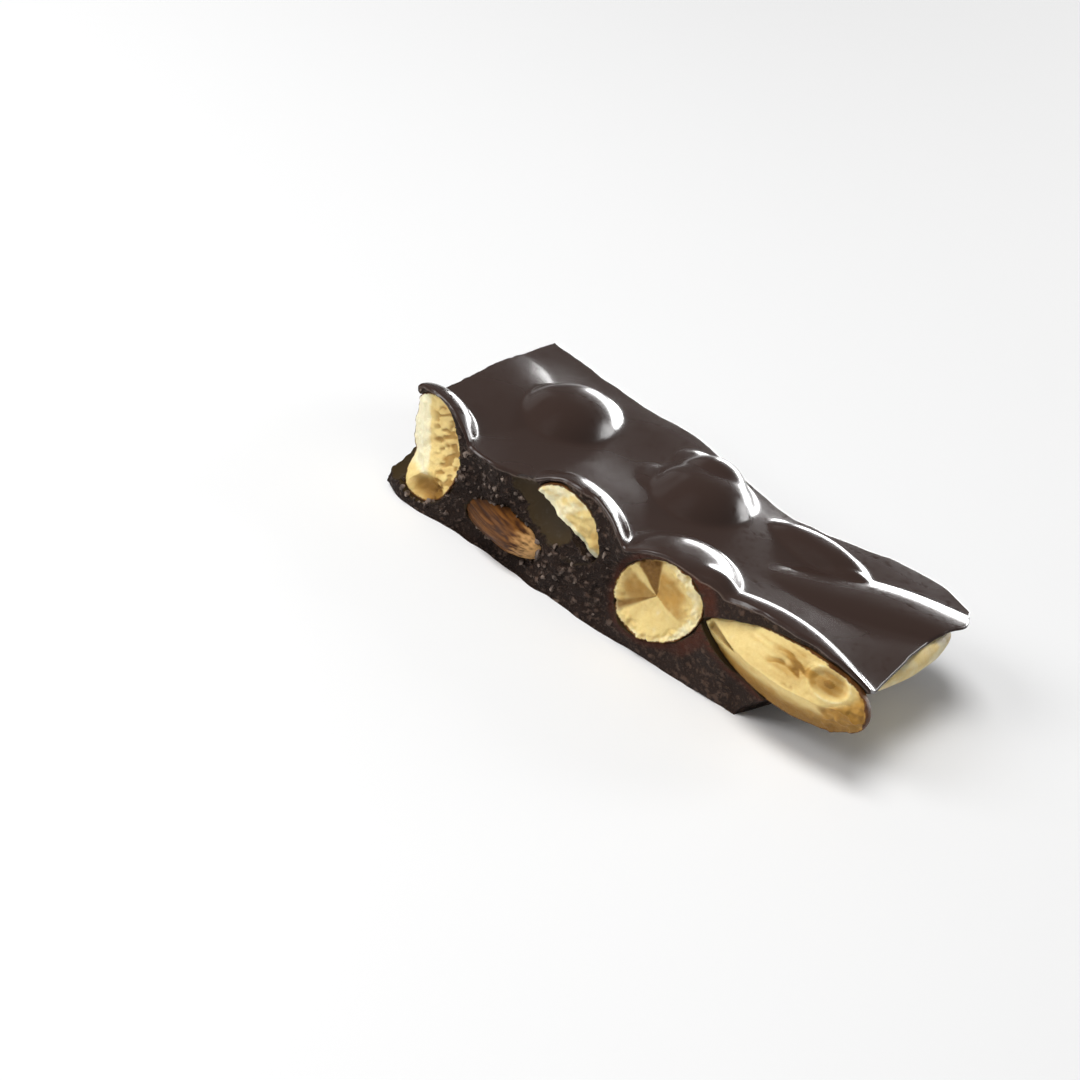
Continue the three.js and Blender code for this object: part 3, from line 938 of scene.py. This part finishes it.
def new_group(name, inputs, outputs):
    """A shader node group with named number inputs and outputs, and its input and output nodes."""
    group = bpy.data.node_groups.new(name, "ShaderNodeTree")
    for label, default in inputs.items():
        socket = group.interface.new_socket(label, in_out="INPUT", socket_type="NodeSocketFloat")
        socket.default_value = default
    for label in outputs:
        group.interface.new_socket(label, in_out="OUTPUT", socket_type="NodeSocketFloat")
    return group, group.nodes.new("NodeGroupInput"), group.nodes.new("NodeGroupOutput")


def field(group, size):
    """What a texture needs to have features of a size in millimetres on Object coordinates."""
    place = add_node(group, "ShaderNodeTexCoord").outputs["Object"]
    return {"Vector": place, "Scale": calculated(group, "DIVIDE", 1 / MM, size)}


def mottle_group():
    """Soft blotches from 0 to 1 of a given size in millimetres: noise over the contrast, about its middle."""
    group, given, result = new_group("Mottle", {"Size": 2.0, "Contrast": 0.5}, ["Mask"])
    cloud = add_node(group, "ShaderNodeTexNoise", {**field(group, given.outputs["Size"]), "Detail": 4.0})
    spread = calculated(group, "SUBTRACT", cloud.outputs[0], 0.5)
    spread = calculated(group, "DIVIDE", spread, given.outputs["Contrast"])
    shifted = add_node(group, "ShaderNodeMath", {0: spread, 1: 0.5}, operation="ADD", use_clamp=True)
    group.links.new(shifted.outputs[0], result.inputs["Mask"])
    return group


def clod_group():
    """Irregular clods from 0 to 1 of a given size in millimetres: noise folded about its middle, so that the
    creases are narrow and dark."""
    group, given, result = new_group("Clods", {"Size": 0.8}, ["Mask"])
    settings = {**field(group, given.outputs["Size"]), "Detail": 5.0, "Roughness": 0.65}
    cloud = add_node(group, "ShaderNodeTexNoise", settings)
    folded = calculated(group, "ABSOLUTE", calculated(group, "SUBTRACT", cloud.outputs[0], 0.5))
    group.links.new(ranged(group, folded, 0.0, 0.16), result.inputs["Mask"])
    return group


def grain_group():
    """Fine relief in metres: noise of a given size and depth in millimetres, and smaller pits."""
    group, given, result = new_group("Grain", {"Size": 0.5, "Depth": 0.05}, ["Height"])
    coarse = field(group, given.outputs["Size"])
    cloud = add_node(group, "ShaderNodeTexNoise", {**coarse, "Detail": 5.0})
    fine = {**coarse, "Scale": calculated(group, "MULTIPLY", coarse["Scale"], 2.7)}
    pits = add_node(group, "ShaderNodeTexVoronoi", fine)
    holes = ranged(group, pits.outputs["Distance"], 0.05, 0.45)
    total = calculated(group, "MULTIPLY_ADD", holes, 0.35, cloud.outputs[0])
    depth = calculated(group, "MULTIPLY", given.outputs["Depth"], MM)
    group.links.new(calculated(group, "MULTIPLY", total, depth), result.inputs["Height"])
    return group


def use_group(tree, name, builder, **values):
    """A node of a shared group, which is built the first time."""
    group = bpy.data.node_groups.get(name) or builder()
    node = add_node(tree, "ShaderNodeGroup", node_tree=group)
    for label, value in values.items():
        node.inputs[label].default_value = value
    return node.outputs[0]


def mottle(tree, size, contrast):
    """Soft blotches, from 0 to 1."""
    return use_group(tree, "Mottle", mottle_group, Size=size, Contrast=contrast)


def grain(tree, size, depth):
    """A fine relief, for a bump."""
    return use_group(tree, "Grain", grain_group, Size=size, Depth=depth)


def clods(tree, size):
    """Irregular clods, from 0 to 1."""
    return use_group(tree, "Clods", clod_group, Size=size)


def new_material(name, **settings):
    """A new material, its node tree and its Principled shader with some of its inputs set."""
    material = bpy.data.materials.new(name)
    material.use_nodes = True
    shader = material.node_tree.nodes["Principled BSDF"]
    for label, value in settings.items():
        shader.inputs[label.replace("_", " ")].default_value = value
    return material, material.node_tree, shader


def connect(tree, shader, height=None, **sockets):
    """Links the sockets to the shader; a height goes in through a bump."""
    for name, socket in sockets.items():
        tree.links.new(socket, shader.inputs[name.replace("_", " ")])
    if height is not None:
        bump = add_node(tree, "ShaderNodeBump", {"Height": height, "Distance": 1.0})
        tree.links.new(bump.outputs[0], shader.inputs["Normal"])


# ---- Finishes --------------------------------------------------------------------------------------------

CHOCOLATE_IOR, ALMOND_IOR = 1.42, 1.35
POURED_ROUGHNESS = (0.21, 0.24)  # of the top, with a slight smear
BROKEN_ROUGHNESS = 0.75
CLOD_SIZE, CLOD_HEIGHT = 1.1, 0.55 * MM
# The second of these sets the pale dusting and painted highlights on the tops of the clods, the third the
# painted highlight along the rim.
BLOTCHY, DUST_AND_HIGHLIGHT, RIM_HIGHLIGHT = 0.35, 0.4, 1.6  # how strongly these colour the chocolate
SKIN_LINE = (0.3, 0.14)  # how far from the edge of a break its brown line of skin ends and is full


def chocolate_material(colours):
    """Glossy where it was poured, smooth in the prints of nuts, matt and mottled where it broke, with painted
    shade in the creases and painted light on the clods, a pale dusting and painted highlights on the clods
    where the break is crumbly, chocolate reddened by the skins round the round almond and painted reddish
    shade under the long one, and a painted highlight along the rim."""
    material, tree, shader = new_material("dark_chocolate", IOR=CHOCOLATE_IOR)
    poured, printed = attribute_of(tree, "poured"), attribute_of(tree, "printed")
    coarse, stained = attribute_of(tree, "coarse"), attribute_of(tree, "stained")
    patch = mottle(tree, 4.0, 0.5)
    clod = clods(tree, CLOD_SIZE)
    # Pale on the tops of the clods where the break is crumbly: a dusting and painted highlights.
    pale = calculated(tree, "MULTIPLY", ranged(tree, clod, 0.2, 1.0), mottle(tree, 0.9, 0.3))
    pale = calculated(tree, "MULTIPLY", pale, coarse)
    # Darker in the creases and lighter on the clods: painted shade and painted light on the crumbly relief.
    broken = blended(tree, clod, colours.break_dark, colours.break_light)
    broken = blended(tree, calculated(tree, "MULTIPLY", patch, BLOTCHY), broken, colours.break_dark)
    broken = blended(tree, calculated(tree, "MULTIPLY", pale, DUST_AND_HIGHLIGHT), broken, colours.dust_and_highlight)
    # Red round the round almond from the skins, and painted reddish shade under the long one.
    broken = blended(tree, stained, broken, colours.stained)
    base = blended(tree, printed, broken, colours.printed)
    base = blended(tree, poured, base, colours.poured)
    # A pale line where the gloss fades at the rounded rim: a painted highlight.
    rim = calculated(tree, "MULTIPLY", poured, calculated(tree, "SUBTRACT", 1.0, poured))
    base = blended(tree, calculated(tree, "MULTIPLY", rim, RIM_HIGHLIGHT), base, colours.dust_and_highlight)
    smear = ranged(tree, patch, 0.0, 1.0, *POURED_ROUGHNESS)
    rough = ranged(tree, poured, 0.0, 1.0, BROKEN_ROUGHNESS, 0.0)
    rough = calculated(tree, "MULTIPLY_ADD", smear, poured, rough)
    rough = calculated(tree, "MULTIPLY_ADD", pale, -0.3, rough)
    matt = calculated(tree, "SUBTRACT", 1.0, calculated(tree, "MAXIMUM", poured, printed))
    rise = calculated(tree, "MULTIPLY_ADD", coarse, CLOD_HEIGHT, 0.02 * MM)
    height = calculated(tree, "MULTIPLY_ADD", clod, rise, grain(tree, 0.35, 0.12))
    connect(tree, shader, calculated(tree, "MULTIPLY", height, matt), Base_Color=base, Roughness=rough)
    return material


def flesh_material(colours):
    """Broken almond: cream to gold, brown where it is painted toasted and where shade is painted, and a brown
    line of skin at its edge.
    """
    material, tree, shader = new_material(
        "almond_flesh", Roughness=0.55, IOR=ALMOND_IOR, Subsurface_Weight=0.15,
        Subsurface_Radius=(1.0, 0.55, 0.25), Subsurface_Scale=1.2 * MM,
    )
    gold, brown = attribute_of(tree, "gold"), attribute_of(tree, "brown")
    blotch = mottle(tree, 1.1, 0.5)
    speck = mottle(tree, 0.35, 0.4)
    share = calculated(tree, "MULTIPLY_ADD", calculated(tree, "SUBTRACT", blotch, 0.5), 0.35, gold)
    base = blended(tree, ranged(tree, share, 0.0, 1.0), colours.cream, colours.gold)
    base = blended(tree, ranged(tree, share, PALE, 0.0), colours.pale, base)
    # Brown: toasting, and painted shade in hollows, the slot, the crease and faces turned down.
    base = blended(tree, brown, base, colours.toasted_and_shade)
    base = blended(tree, calculated(tree, "MULTIPLY", speck, 0.15), base, colours.gold)
    edge = calculated(tree, "MULTIPLY_ADD", speck, 0.14, attribute_of(tree, "from_edge"))
    skin = blended(tree, blotch, colours.skin_dark, colours.skin_light)
    base = blended(tree, ranged(tree, edge, *SKIN_LINE), base, skin)
    connect(tree, shader, grain(tree, 0.5, 0.09), Base_Color=base)
    return material


def skin_material(colours):
    """Almond skin: long dark and light streaks, tan where it is rubbed thin and where a highlight is painted,
    and smudged with chocolate.
    """
    material, tree, shader = new_material("almond_skin", Roughness=0.55, IOR=ALMOND_IOR)
    streak = attribute_of(tree, "streak")
    base = blended(tree, streak, colours.skin_dark, colours.skin_light)
    # Tan towards the right end: skin rubbed thin, and a painted highlight.
    base = blended(tree, attribute_of(tree, "bare"), base, colours.skin_bare_and_highlight)
    smudge = calculated(tree, "MULTIPLY", mottle(tree, 1.4, 0.35), attribute_of(tree, "smudge"))
    base = blended(tree, smudge, base, colours.break_dark)
    connect(tree, shader, grain(tree, 0.4, 0.05), Base_Color=base)
    return material


def crumb_material(colours):
    """Chocolate crumbs, some dusty and pale."""
    material, tree, shader = new_material("chocolate_crumb", Roughness=0.6)
    base = blended(tree, mottle(tree, 1.0, 0.25), colours.break_dark, colours.dust_and_highlight)
    connect(tree, shader, grain(tree, 0.2, 0.05), Base_Color=base)
    return material


FLOOR_GREY = (0.7, 0.7, 0.7, 1)  # of the faint patches on the floor


def floor_material(colours):
    """Plain matt board with a barely seen grain."""
    material, tree, shader = new_material("studio_floor", Roughness=0.9, Specular_IOR_Level=0.1)
    patch = calculated(tree, "MULTIPLY", mottle(tree, 60.0, 0.6), 0.02)
    connect(tree, shader, Base_Color=blended(tree, patch, colours.floor, FLOOR_GREY))
    return material


# ---- Settings --------------------------------------------------------------------------------------------

def length(name, text, millimetres):
    """A setting that is a length, given in millimetres and kept in metres."""
    return bpy.props.FloatProperty(
        name=name, description=text, default=millimetres * MM, min=0.0, unit="LENGTH", precision=5
    )


def colour(name, text, red, green, blue):
    """A setting that is a colour, in linear shares."""
    return bpy.props.FloatVectorProperty(
        name=name, description=text, default=(red, green, blue, 1.0), size=4, min=0, max=1, subtype="COLOR"
    )


class BarkSizes(bpy.types.PropertyGroup):
    """Sizes that a user may change"""

    cell: length("Cell", "Spacing of the mesh of the chocolate", 0.235)
    kernel_cell: length("Kernel cell", "Spacing of the mesh of an almond", 0.16)
    break_cell: length("Break cell", "Spacing of the mesh of a broken almond face", 0.12)
    lip: length("Lip", "Radius of the rounded rim of the chocolate", 0.32)
    socket_gap: length("Socket gap", "Gap between an almond and its chocolate", 0.12)
    crumb: length("Crumb", "Size of the largest loose crumbs", 0.95)


class BarkColours(bpy.types.PropertyGroup):
    """Colours of the chocolate, the almonds and the floor"""

    poured: colour("Poured", "Chocolate of the glossy top", 0.042, 0.025, 0.020)
    # The dark break colour is the chocolate's own dark and, in the creases of the clods, painted shade; the
    # light one on the clods is painted light.
    break_dark: colour("Break, dark", "Dark part of broken chocolate", 0.020, 0.009, 0.005)
    break_light: colour("Break, light", "Light part of broken chocolate", 0.095, 0.052, 0.034)
    printed: colour("Print", "Chocolate in the smooth print of a nut", 0.038, 0.023, 0.008)
    # Red of the chocolate round the round almond, also painted as reddish shade under the long one.
    stained: colour("Stain", "Chocolate reddened by the skins of the nuts", 0.095, 0.022, 0.008)
    # Pale dusting, and painted highlights on the clods and along the rim.
    dust_and_highlight: colour("Dust", "Pale crumbs", 0.24, 0.18, 0.145)
    pale: colour("Pale", "Palest almond flesh", 0.94, 0.88, 0.60)
    cream: colour("Cream", "Most of the almond flesh", 0.86, 0.67, 0.28)
    gold: colour("Gold", "Deeper almond flesh", 0.58, 0.32, 0.07)
    # Brown of toasted flesh, which also paints the shade in hollows, slots, creases and faces turned
    # downwards.
    toasted_and_shade: colour("Toasted", "Brown hollows in the flesh", 0.17, 0.075, 0.010)
    skin_dark: colour("Skin, dark", "Dark streaks of the skin", 0.045, 0.016, 0.006)
    skin_light: colour("Skin, light", "Light streaks of the skin", 0.18, 0.068, 0.014)
    # Tan of rubbed skin, which also paints the highlight on the end of the almond in its skin.
    skin_bare_and_highlight: colour("Skin, bare", "Skin rubbed thin", 0.66, 0.38, 0.15)
    floor: colour("Floor", "Studio floor", 0.91, 0.91, 0.91)


def brightness(name, text, watts):
    """A setting that is the power of a light."""
    return bpy.props.FloatProperty(name=name, description=text, default=watts, min=0, unit="POWER")


class BarkLights(bpy.types.PropertyGroup):
    """Powers of the lights"""

    overhead: brightness("Overhead", "Power of the large soft light above and in front", 2.55)
    front: brightness("Front", "Power of the soft light from the front left", 1.6)
    back: brightness("Back", "Power of the low panel behind, which the domes mirror", 3.2)
    right: brightness("Right", "Power of the small panel on the right behind", 0.5)
    side: brightness("Side", "Power of the weak panel on the left", 0.13)
    sky: bpy.props.FloatProperty(
        name="Surround", description="Brightness of the surroundings", default=0.14, min=0, subtype="FACTOR"
    )


# ---- Pieces ----------------------------------------------------------------------------------------------

class BARK_OT_chocolate(bpy.types.Operator):
    """Builds the chocolate: the poured top, the broken walls, the sockets of the almonds and the prints"""

    bl_idname = "bark.chocolate"
    bl_label = "Chocolate"

    def execute(self, context):
        sizes = context.scene.bark_sizes
        lip, gap, cell = sizes.lip / MM, sizes.socket_gap / MM, sizes.cell / MM
        piece = make_object("bark_chocolate", block_mesh(cell, lip))
        cutters = [socket_mesh(kernel, cell, gap) for kernel in ALMONDS.values()]
        cutters += [socket_mesh(kernel, cell, 0.0) for kernel in PRINTS]
        carve(piece, cutters, "DIFFERENCE")
        points = points_of(piece.data)
        x, y, z = points.T
        below = z - top_height(x, y)
        none, full = (-lip - margin for margin in GLOSS_ENDS)
        store(piece.data, "poured", rise_between(below, none, full))
        near_print = [np.abs(depth_in(kernel, points)) for kernel in PRINTS]
        near_print += [np.abs(depth_in(kernel, points) + gap) for kernel in ALMONDS.values()]
        store(piece.data, "printed", rise_between(np.min(near_print, axis=0), *PRINT_ENDS))
        store(piece.data, "coarse", crumbly(x, y < WALL_BEFORE))
        store(piece.data, "stained", red_stain_and_shade(points))
        finish_piece(piece, chocolate_material(context.scene.bark_colours), 50)
        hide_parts("chocolate")
        return {"FINISHED"}


class BARK_OT_broken_almonds(bpy.types.Operator):
    """Builds the almonds whose pale flesh shows: four broken as their cuts say, and one without its skin"""

    bl_idname = "bark.broken_almonds"
    bl_label = "Broken almonds"

    def execute(self, context):
        sizes = context.scene.bark_sizes
        material = flesh_material(context.scene.bark_colours)
        for name, paint in PAINTS.items():
            kernel = ALMONDS[name]
            whole = not kernel["cuts"]
            shell = kernel_mesh(kernel, sizes.kernel_cell / MM, skin=rubbed if whole else None)
            piece = make_object(f"finished_{name}", shell)
            blocks = [make_object("cut", behind_cut(cut, sizes.break_cell / MM)) for cut in kernel["cuts"]]
            carve(piece, blocks, "INTERSECT")
            points = points_of(piece.data)
            gold, brown = paint(points)
            distance = from_edge(kernel, points) + (PEELED if whole else 0.0)
            store(piece.data, "from_edge", distance)
            store(piece.data, "gold", gold)
            store(piece.data, "brown", brown)
            finish_piece(piece, material, 45)
            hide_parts(name)
        return {"FINISHED"}


class BARK_OT_skinned_almond(bpy.types.Operator):
    """Builds the whole almond that still has its wrinkled brown skin"""

    bl_idname = "bark.skinned_almond"
    bl_label = "Almond in its skin"

    def execute(self, context):
        kernel = ALMONDS["almond_in_skin"]
        cell = context.scene.bark_sizes.kernel_cell / MM
        piece = make_object("finished_almond_in_skin", kernel_mesh(kernel, cell, skin=wrinkled))
        points = points_of(piece.data)
        across, along, through = in_kernel(kernel, points)
        streaks = noise(stacked(9 * across, 1.5 * along, 9 * through))
        streaks = streaks + 0.8 * noise(stacked(22 * across, 2.5 * along, 22 * through))
        store(piece.data, "streak", rise_between(streaks, -0.8, 0.6))
        # Tan towards the right end: skin rubbed thin, and a painted highlight where the end stands out of the
        # wall.
        store(piece.data, "bare", rise_between(points[:, 0] + 1.2 * streaks, -14.0, -10.8) * 0.85)
        store(piece.data, "smudge", 0.75 * rise_between(points[:, 0] + points[:, 2], -12.5, -17.5))
        finish_piece(piece, skin_material(context.scene.bark_colours), 60)
        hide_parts("almond_in_skin")
        return {"FINISHED"}


def crumb_share(points):
    """How likely a loose crumb is at each place: on the crumbly part of the front wall, thickest on the
    heaps, clear of the floor, the rim and the prints."""
    x, y, z = points.T
    rim = top_height(x, y)
    share = rise_between(x, 6.0, -6.0) * (y < CRUMBS_BEFORE) * rise_between(z, 0.6, 1.3)
    share = share * rise_between(z, rim - 0.6, rim - 1.4)
    heaps = [fading(np.hypot(x - heap["x"], z - heap["z"]) / heap["reach"]) for heap in HEAPS]
    share = share * (CRUMBS_ELSEWHERE + np.max(heaps, axis=0))
    for kernel in PRINTS:
        share = share * (np.abs(depth_in(kernel, points)) > 0.2)
    return share


def small_ball(rings=3, sectors=6):
    """The points and faces of a ball of radius 1 with few faces: rings from the top down, and its poles."""
    down = math.pi * np.arange(1, rings + 1)[:, None] / (rings + 1)
    turn = 2 * math.pi * np.arange(sectors) / sectors
    ball = stacked(np.sin(down) * np.cos(turn), np.sin(down) * np.sin(turn), np.cos(down))
    return np.concatenate([ball.reshape(-1, 3), [[0, 0, 1], [0, 0, -1]]]), ring_faces(rings, sectors)


class BARK_OT_crumbs(bpy.types.Operator):
    """Scatters chocolate crumbs over the crumbly part of the broken front"""

    bl_idname = "bark.crumbs"
    bl_label = "Crumbs"

    count: bpy.props.IntProperty(name="Count", description="Number of crumbs", default=520, min=1)

    def execute(self, context):
        points = points_of(bpy.data.objects["bark_chocolate"].data)
        share = crumb_share(points)
        random = np.random.default_rng(CRUMB_SEED)
        chosen = random.choice(len(points), self.count, replace=False, p=share / share.sum())
        sizes = context.scene.bark_sizes.crumb / MM * random.uniform(0.25, 1.0, self.count) ** 2
        ball, faces = small_ball()
        shapes = ball[None] * random.uniform(0.55, 1.25, (self.count, len(ball), 1))
        shapes = shapes * random.uniform(0.6, 1.2, (self.count, 1, 3)) * sizes[:, None, None] / 2
        shapes = shapes + points[chosen][:, None, :]
        shift = len(ball) * np.arange(self.count)[:, None, None]
        faces = [(group + shift).reshape(-1, group.shape[1]) for group in faces]
        mesh = make_mesh("crumbs", shapes.reshape(-1, 3), *faces)
        piece = make_object("chocolate_crumbs", mesh)
        finish_piece(piece, crumb_material(context.scene.bark_colours), 35)
        return {"FINISHED"}


# ---- Stage -----------------------------------------------------------------------------------------------

AZIMUTH, ELEVATION, ROLL = 22.7, 31.0, 22.2  # of the camera, in degrees
LENS, SENSOR = 100.0, 36.0
DISTANCE = 341.0
AIM = (18.9, -14.5, 0.0)  # the foot of the front right corner
AIM_PIXEL = (735.0, 715.0)  # where the picture shows it
PICTURE = 1080.0
CLIP = (0.01, 20.0)  # metres
FLOOR_HALF = 3000.0
STEEP = 0.95  # a panel that faces further up or down than this has its own up along Y

# Each light is a soft panel. shows says whether glossy chocolate mirrors it, and fills whether it lights
# the rest.
LIGHTS = dict(
    overhead=dict(at=(-150, -130, 560), towards=(0, 0, 0), size=(300, 300), shows=False, fills=True),
    front=dict(at=(-330, -420, 330), towards=(0, 0, 5), size=(260, 260), shows=True, fills=True),
    back=dict(at=(-25, 480, 62), towards=(0, 0, 40), size=(360, 116), shows=True, fills=False),
    right=dict(at=(230, 400, 160), towards=(0, 0, 0), size=(140, 140), shows=True, fills=True),
    side=dict(at=(-480, 200, 230), towards=(0, 0, 0), size=(400, 300), shows=True, fills=True),
)


def facing(back, up):
    """Rotation whose Z axis is back and whose Y axis is as near up as it can be."""
    back = Vector(back).normalized()
    right = Vector(up).cross(back).normalized()
    return Matrix((right, back.cross(right), back)).transposed()


class BARK_OT_stage(bpy.types.Operator):
    """Builds the floor, the lights and the camera"""

    bl_idname = "bark.stage"
    bl_label = "Stage"

    def execute(self, context):
        self.build_floor(context)
        self.build_lights(context)
        self.build_camera(context)
        return {"FINISHED"}

    def build_floor(self, context):
        """One square, level with the underside."""
        sides = [-FLOOR_HALF, FLOOR_HALF]
        corners = stacked(*np.meshgrid(sides, sides, indexing="ij"), 0).reshape(-1, 3)
        floor = make_object("floor", make_mesh("floor", corners, grid_faces(np.arange(4).reshape(2, 2))))
        floor.data.materials.append(floor_material(context.scene.bark_colours))

    def build_lights(self, context):
        """A panel at each place of LIGHTS, turned to what it lights, and even surroundings."""
        for name, light in LIGHTS.items():
            lamp = bpy.data.lights.new(f"light_{name}", "AREA")
            lamp.shape = "RECTANGLE"
            lamp.size, lamp.size_y = (value * MM for value in light["size"])
            lamp.energy = getattr(context.scene.bark_lights, name)
            piece = make_object(f"light_{name}", lamp)
            piece.visible_glossy = light["shows"]
            piece.visible_diffuse = light["fills"]
            back = Vector(light["at"]) - Vector(light["towards"])
            up = (0, 0, 1) if abs(back.normalized().z) < STEEP else (0, 1, 0)
            piece.matrix_world = Matrix.Translation(Vector(light["at"]) * MM) @ facing(back, up).to_4x4()
        world = bpy.data.worlds.new("studio")
        world.use_nodes = True
        backdrop = world.node_tree.nodes["Background"]
        backdrop.inputs["Color"].default_value = (1, 1, 1, 1)
        backdrop.inputs["Strength"].default_value = context.scene.bark_lights.sky
        context.scene.world = world
        context.scene.view_settings.view_transform = "Standard"

    def build_camera(self, context):
        """Looks from AZIMUTH and ELEVATION, rolled, with AIM at AIM_PIXEL of the picture."""
        azimuth, elevation, roll = (math.radians(angle) for angle in (AZIMUTH, ELEVATION, ROLL))
        back = Vector((
            math.sin(azimuth) * math.cos(elevation),
            -math.cos(azimuth) * math.cos(elevation),
            math.sin(elevation),
        ))
        level = facing(back, (0, 0, 1))
        view = level @ Matrix.Rotation(roll, 3, "Z")
        right, up = view.col[0], view.col[1]
        per_pixel = DISTANCE * SENSOR / LENS / PICTURE
        across = (AIM_PIXEL[0] - PICTURE / 2) * per_pixel
        above = (PICTURE / 2 - AIM_PIXEL[1]) * per_pixel
        place = Vector(AIM) + DISTANCE * back - across * right - above * up
        camera = bpy.data.cameras.new("camera")
        camera.lens, camera.sensor_width = LENS, SENSOR
        camera.clip_start, camera.clip_end = CLIP
        piece = make_object("camera", camera)
        piece.matrix_world = Matrix.Translation(place * MM) @ view.to_4x4()
        context.scene.camera = piece


class BARK_PT_panel(bpy.types.Panel):
    """Lists the pieces of the bark and their settings"""

    bl_idname = "BARK_PT_panel"
    bl_label = "Chocolate almond bark"
    bl_space_type = "VIEW_3D"
    bl_region_type = "UI"
    bl_category = "Bark"

    def draw(self, context):
        """A button for each operator and a box for each group of settings."""
        for operator in OPERATORS:
            self.layout.operator(operator.bl_idname)
        for group in GROUPS:
            box = self.layout.box()
            for name in GROUPS[group].__annotations__:
                box.prop(getattr(context.scene, group), name)


OPERATORS = (
    BARK_OT_chocolate,
    BARK_OT_broken_almonds,
    BARK_OT_skinned_almond,
    BARK_OT_crumbs,
    BARK_OT_stage,
)
GROUPS = dict(bark_sizes=BarkSizes, bark_colours=BarkColours, bark_lights=BarkLights)


def register():
    """Makes the settings, the operators and the panel known."""
    for group in GROUPS.values():
        bpy.utils.register_class(group)
    for operator in OPERATORS:
        bpy.utils.register_class(operator)
    bpy.utils.register_class(BARK_PT_panel)
    for name, group in GROUPS.items():
        setattr(bpy.types.Scene, name, bpy.props.PointerProperty(type=group))


def unregister():
    """Takes them out again."""
    for name in GROUPS:
        delattr(bpy.types.Scene, name)
    for known in (BARK_PT_panel, *OPERATORS, *GROUPS.values()):
        bpy.utils.unregister_class(known)


def main():
    """Builds everything in order."""
    register()
    bpy.ops.bark.chocolate()
    bpy.ops.bark.broken_almonds()
    bpy.ops.bark.skinned_almond()
    bpy.ops.bark.crumbs()
    bpy.ops.bark.stage()


if __name__ == "__main__":
    main()
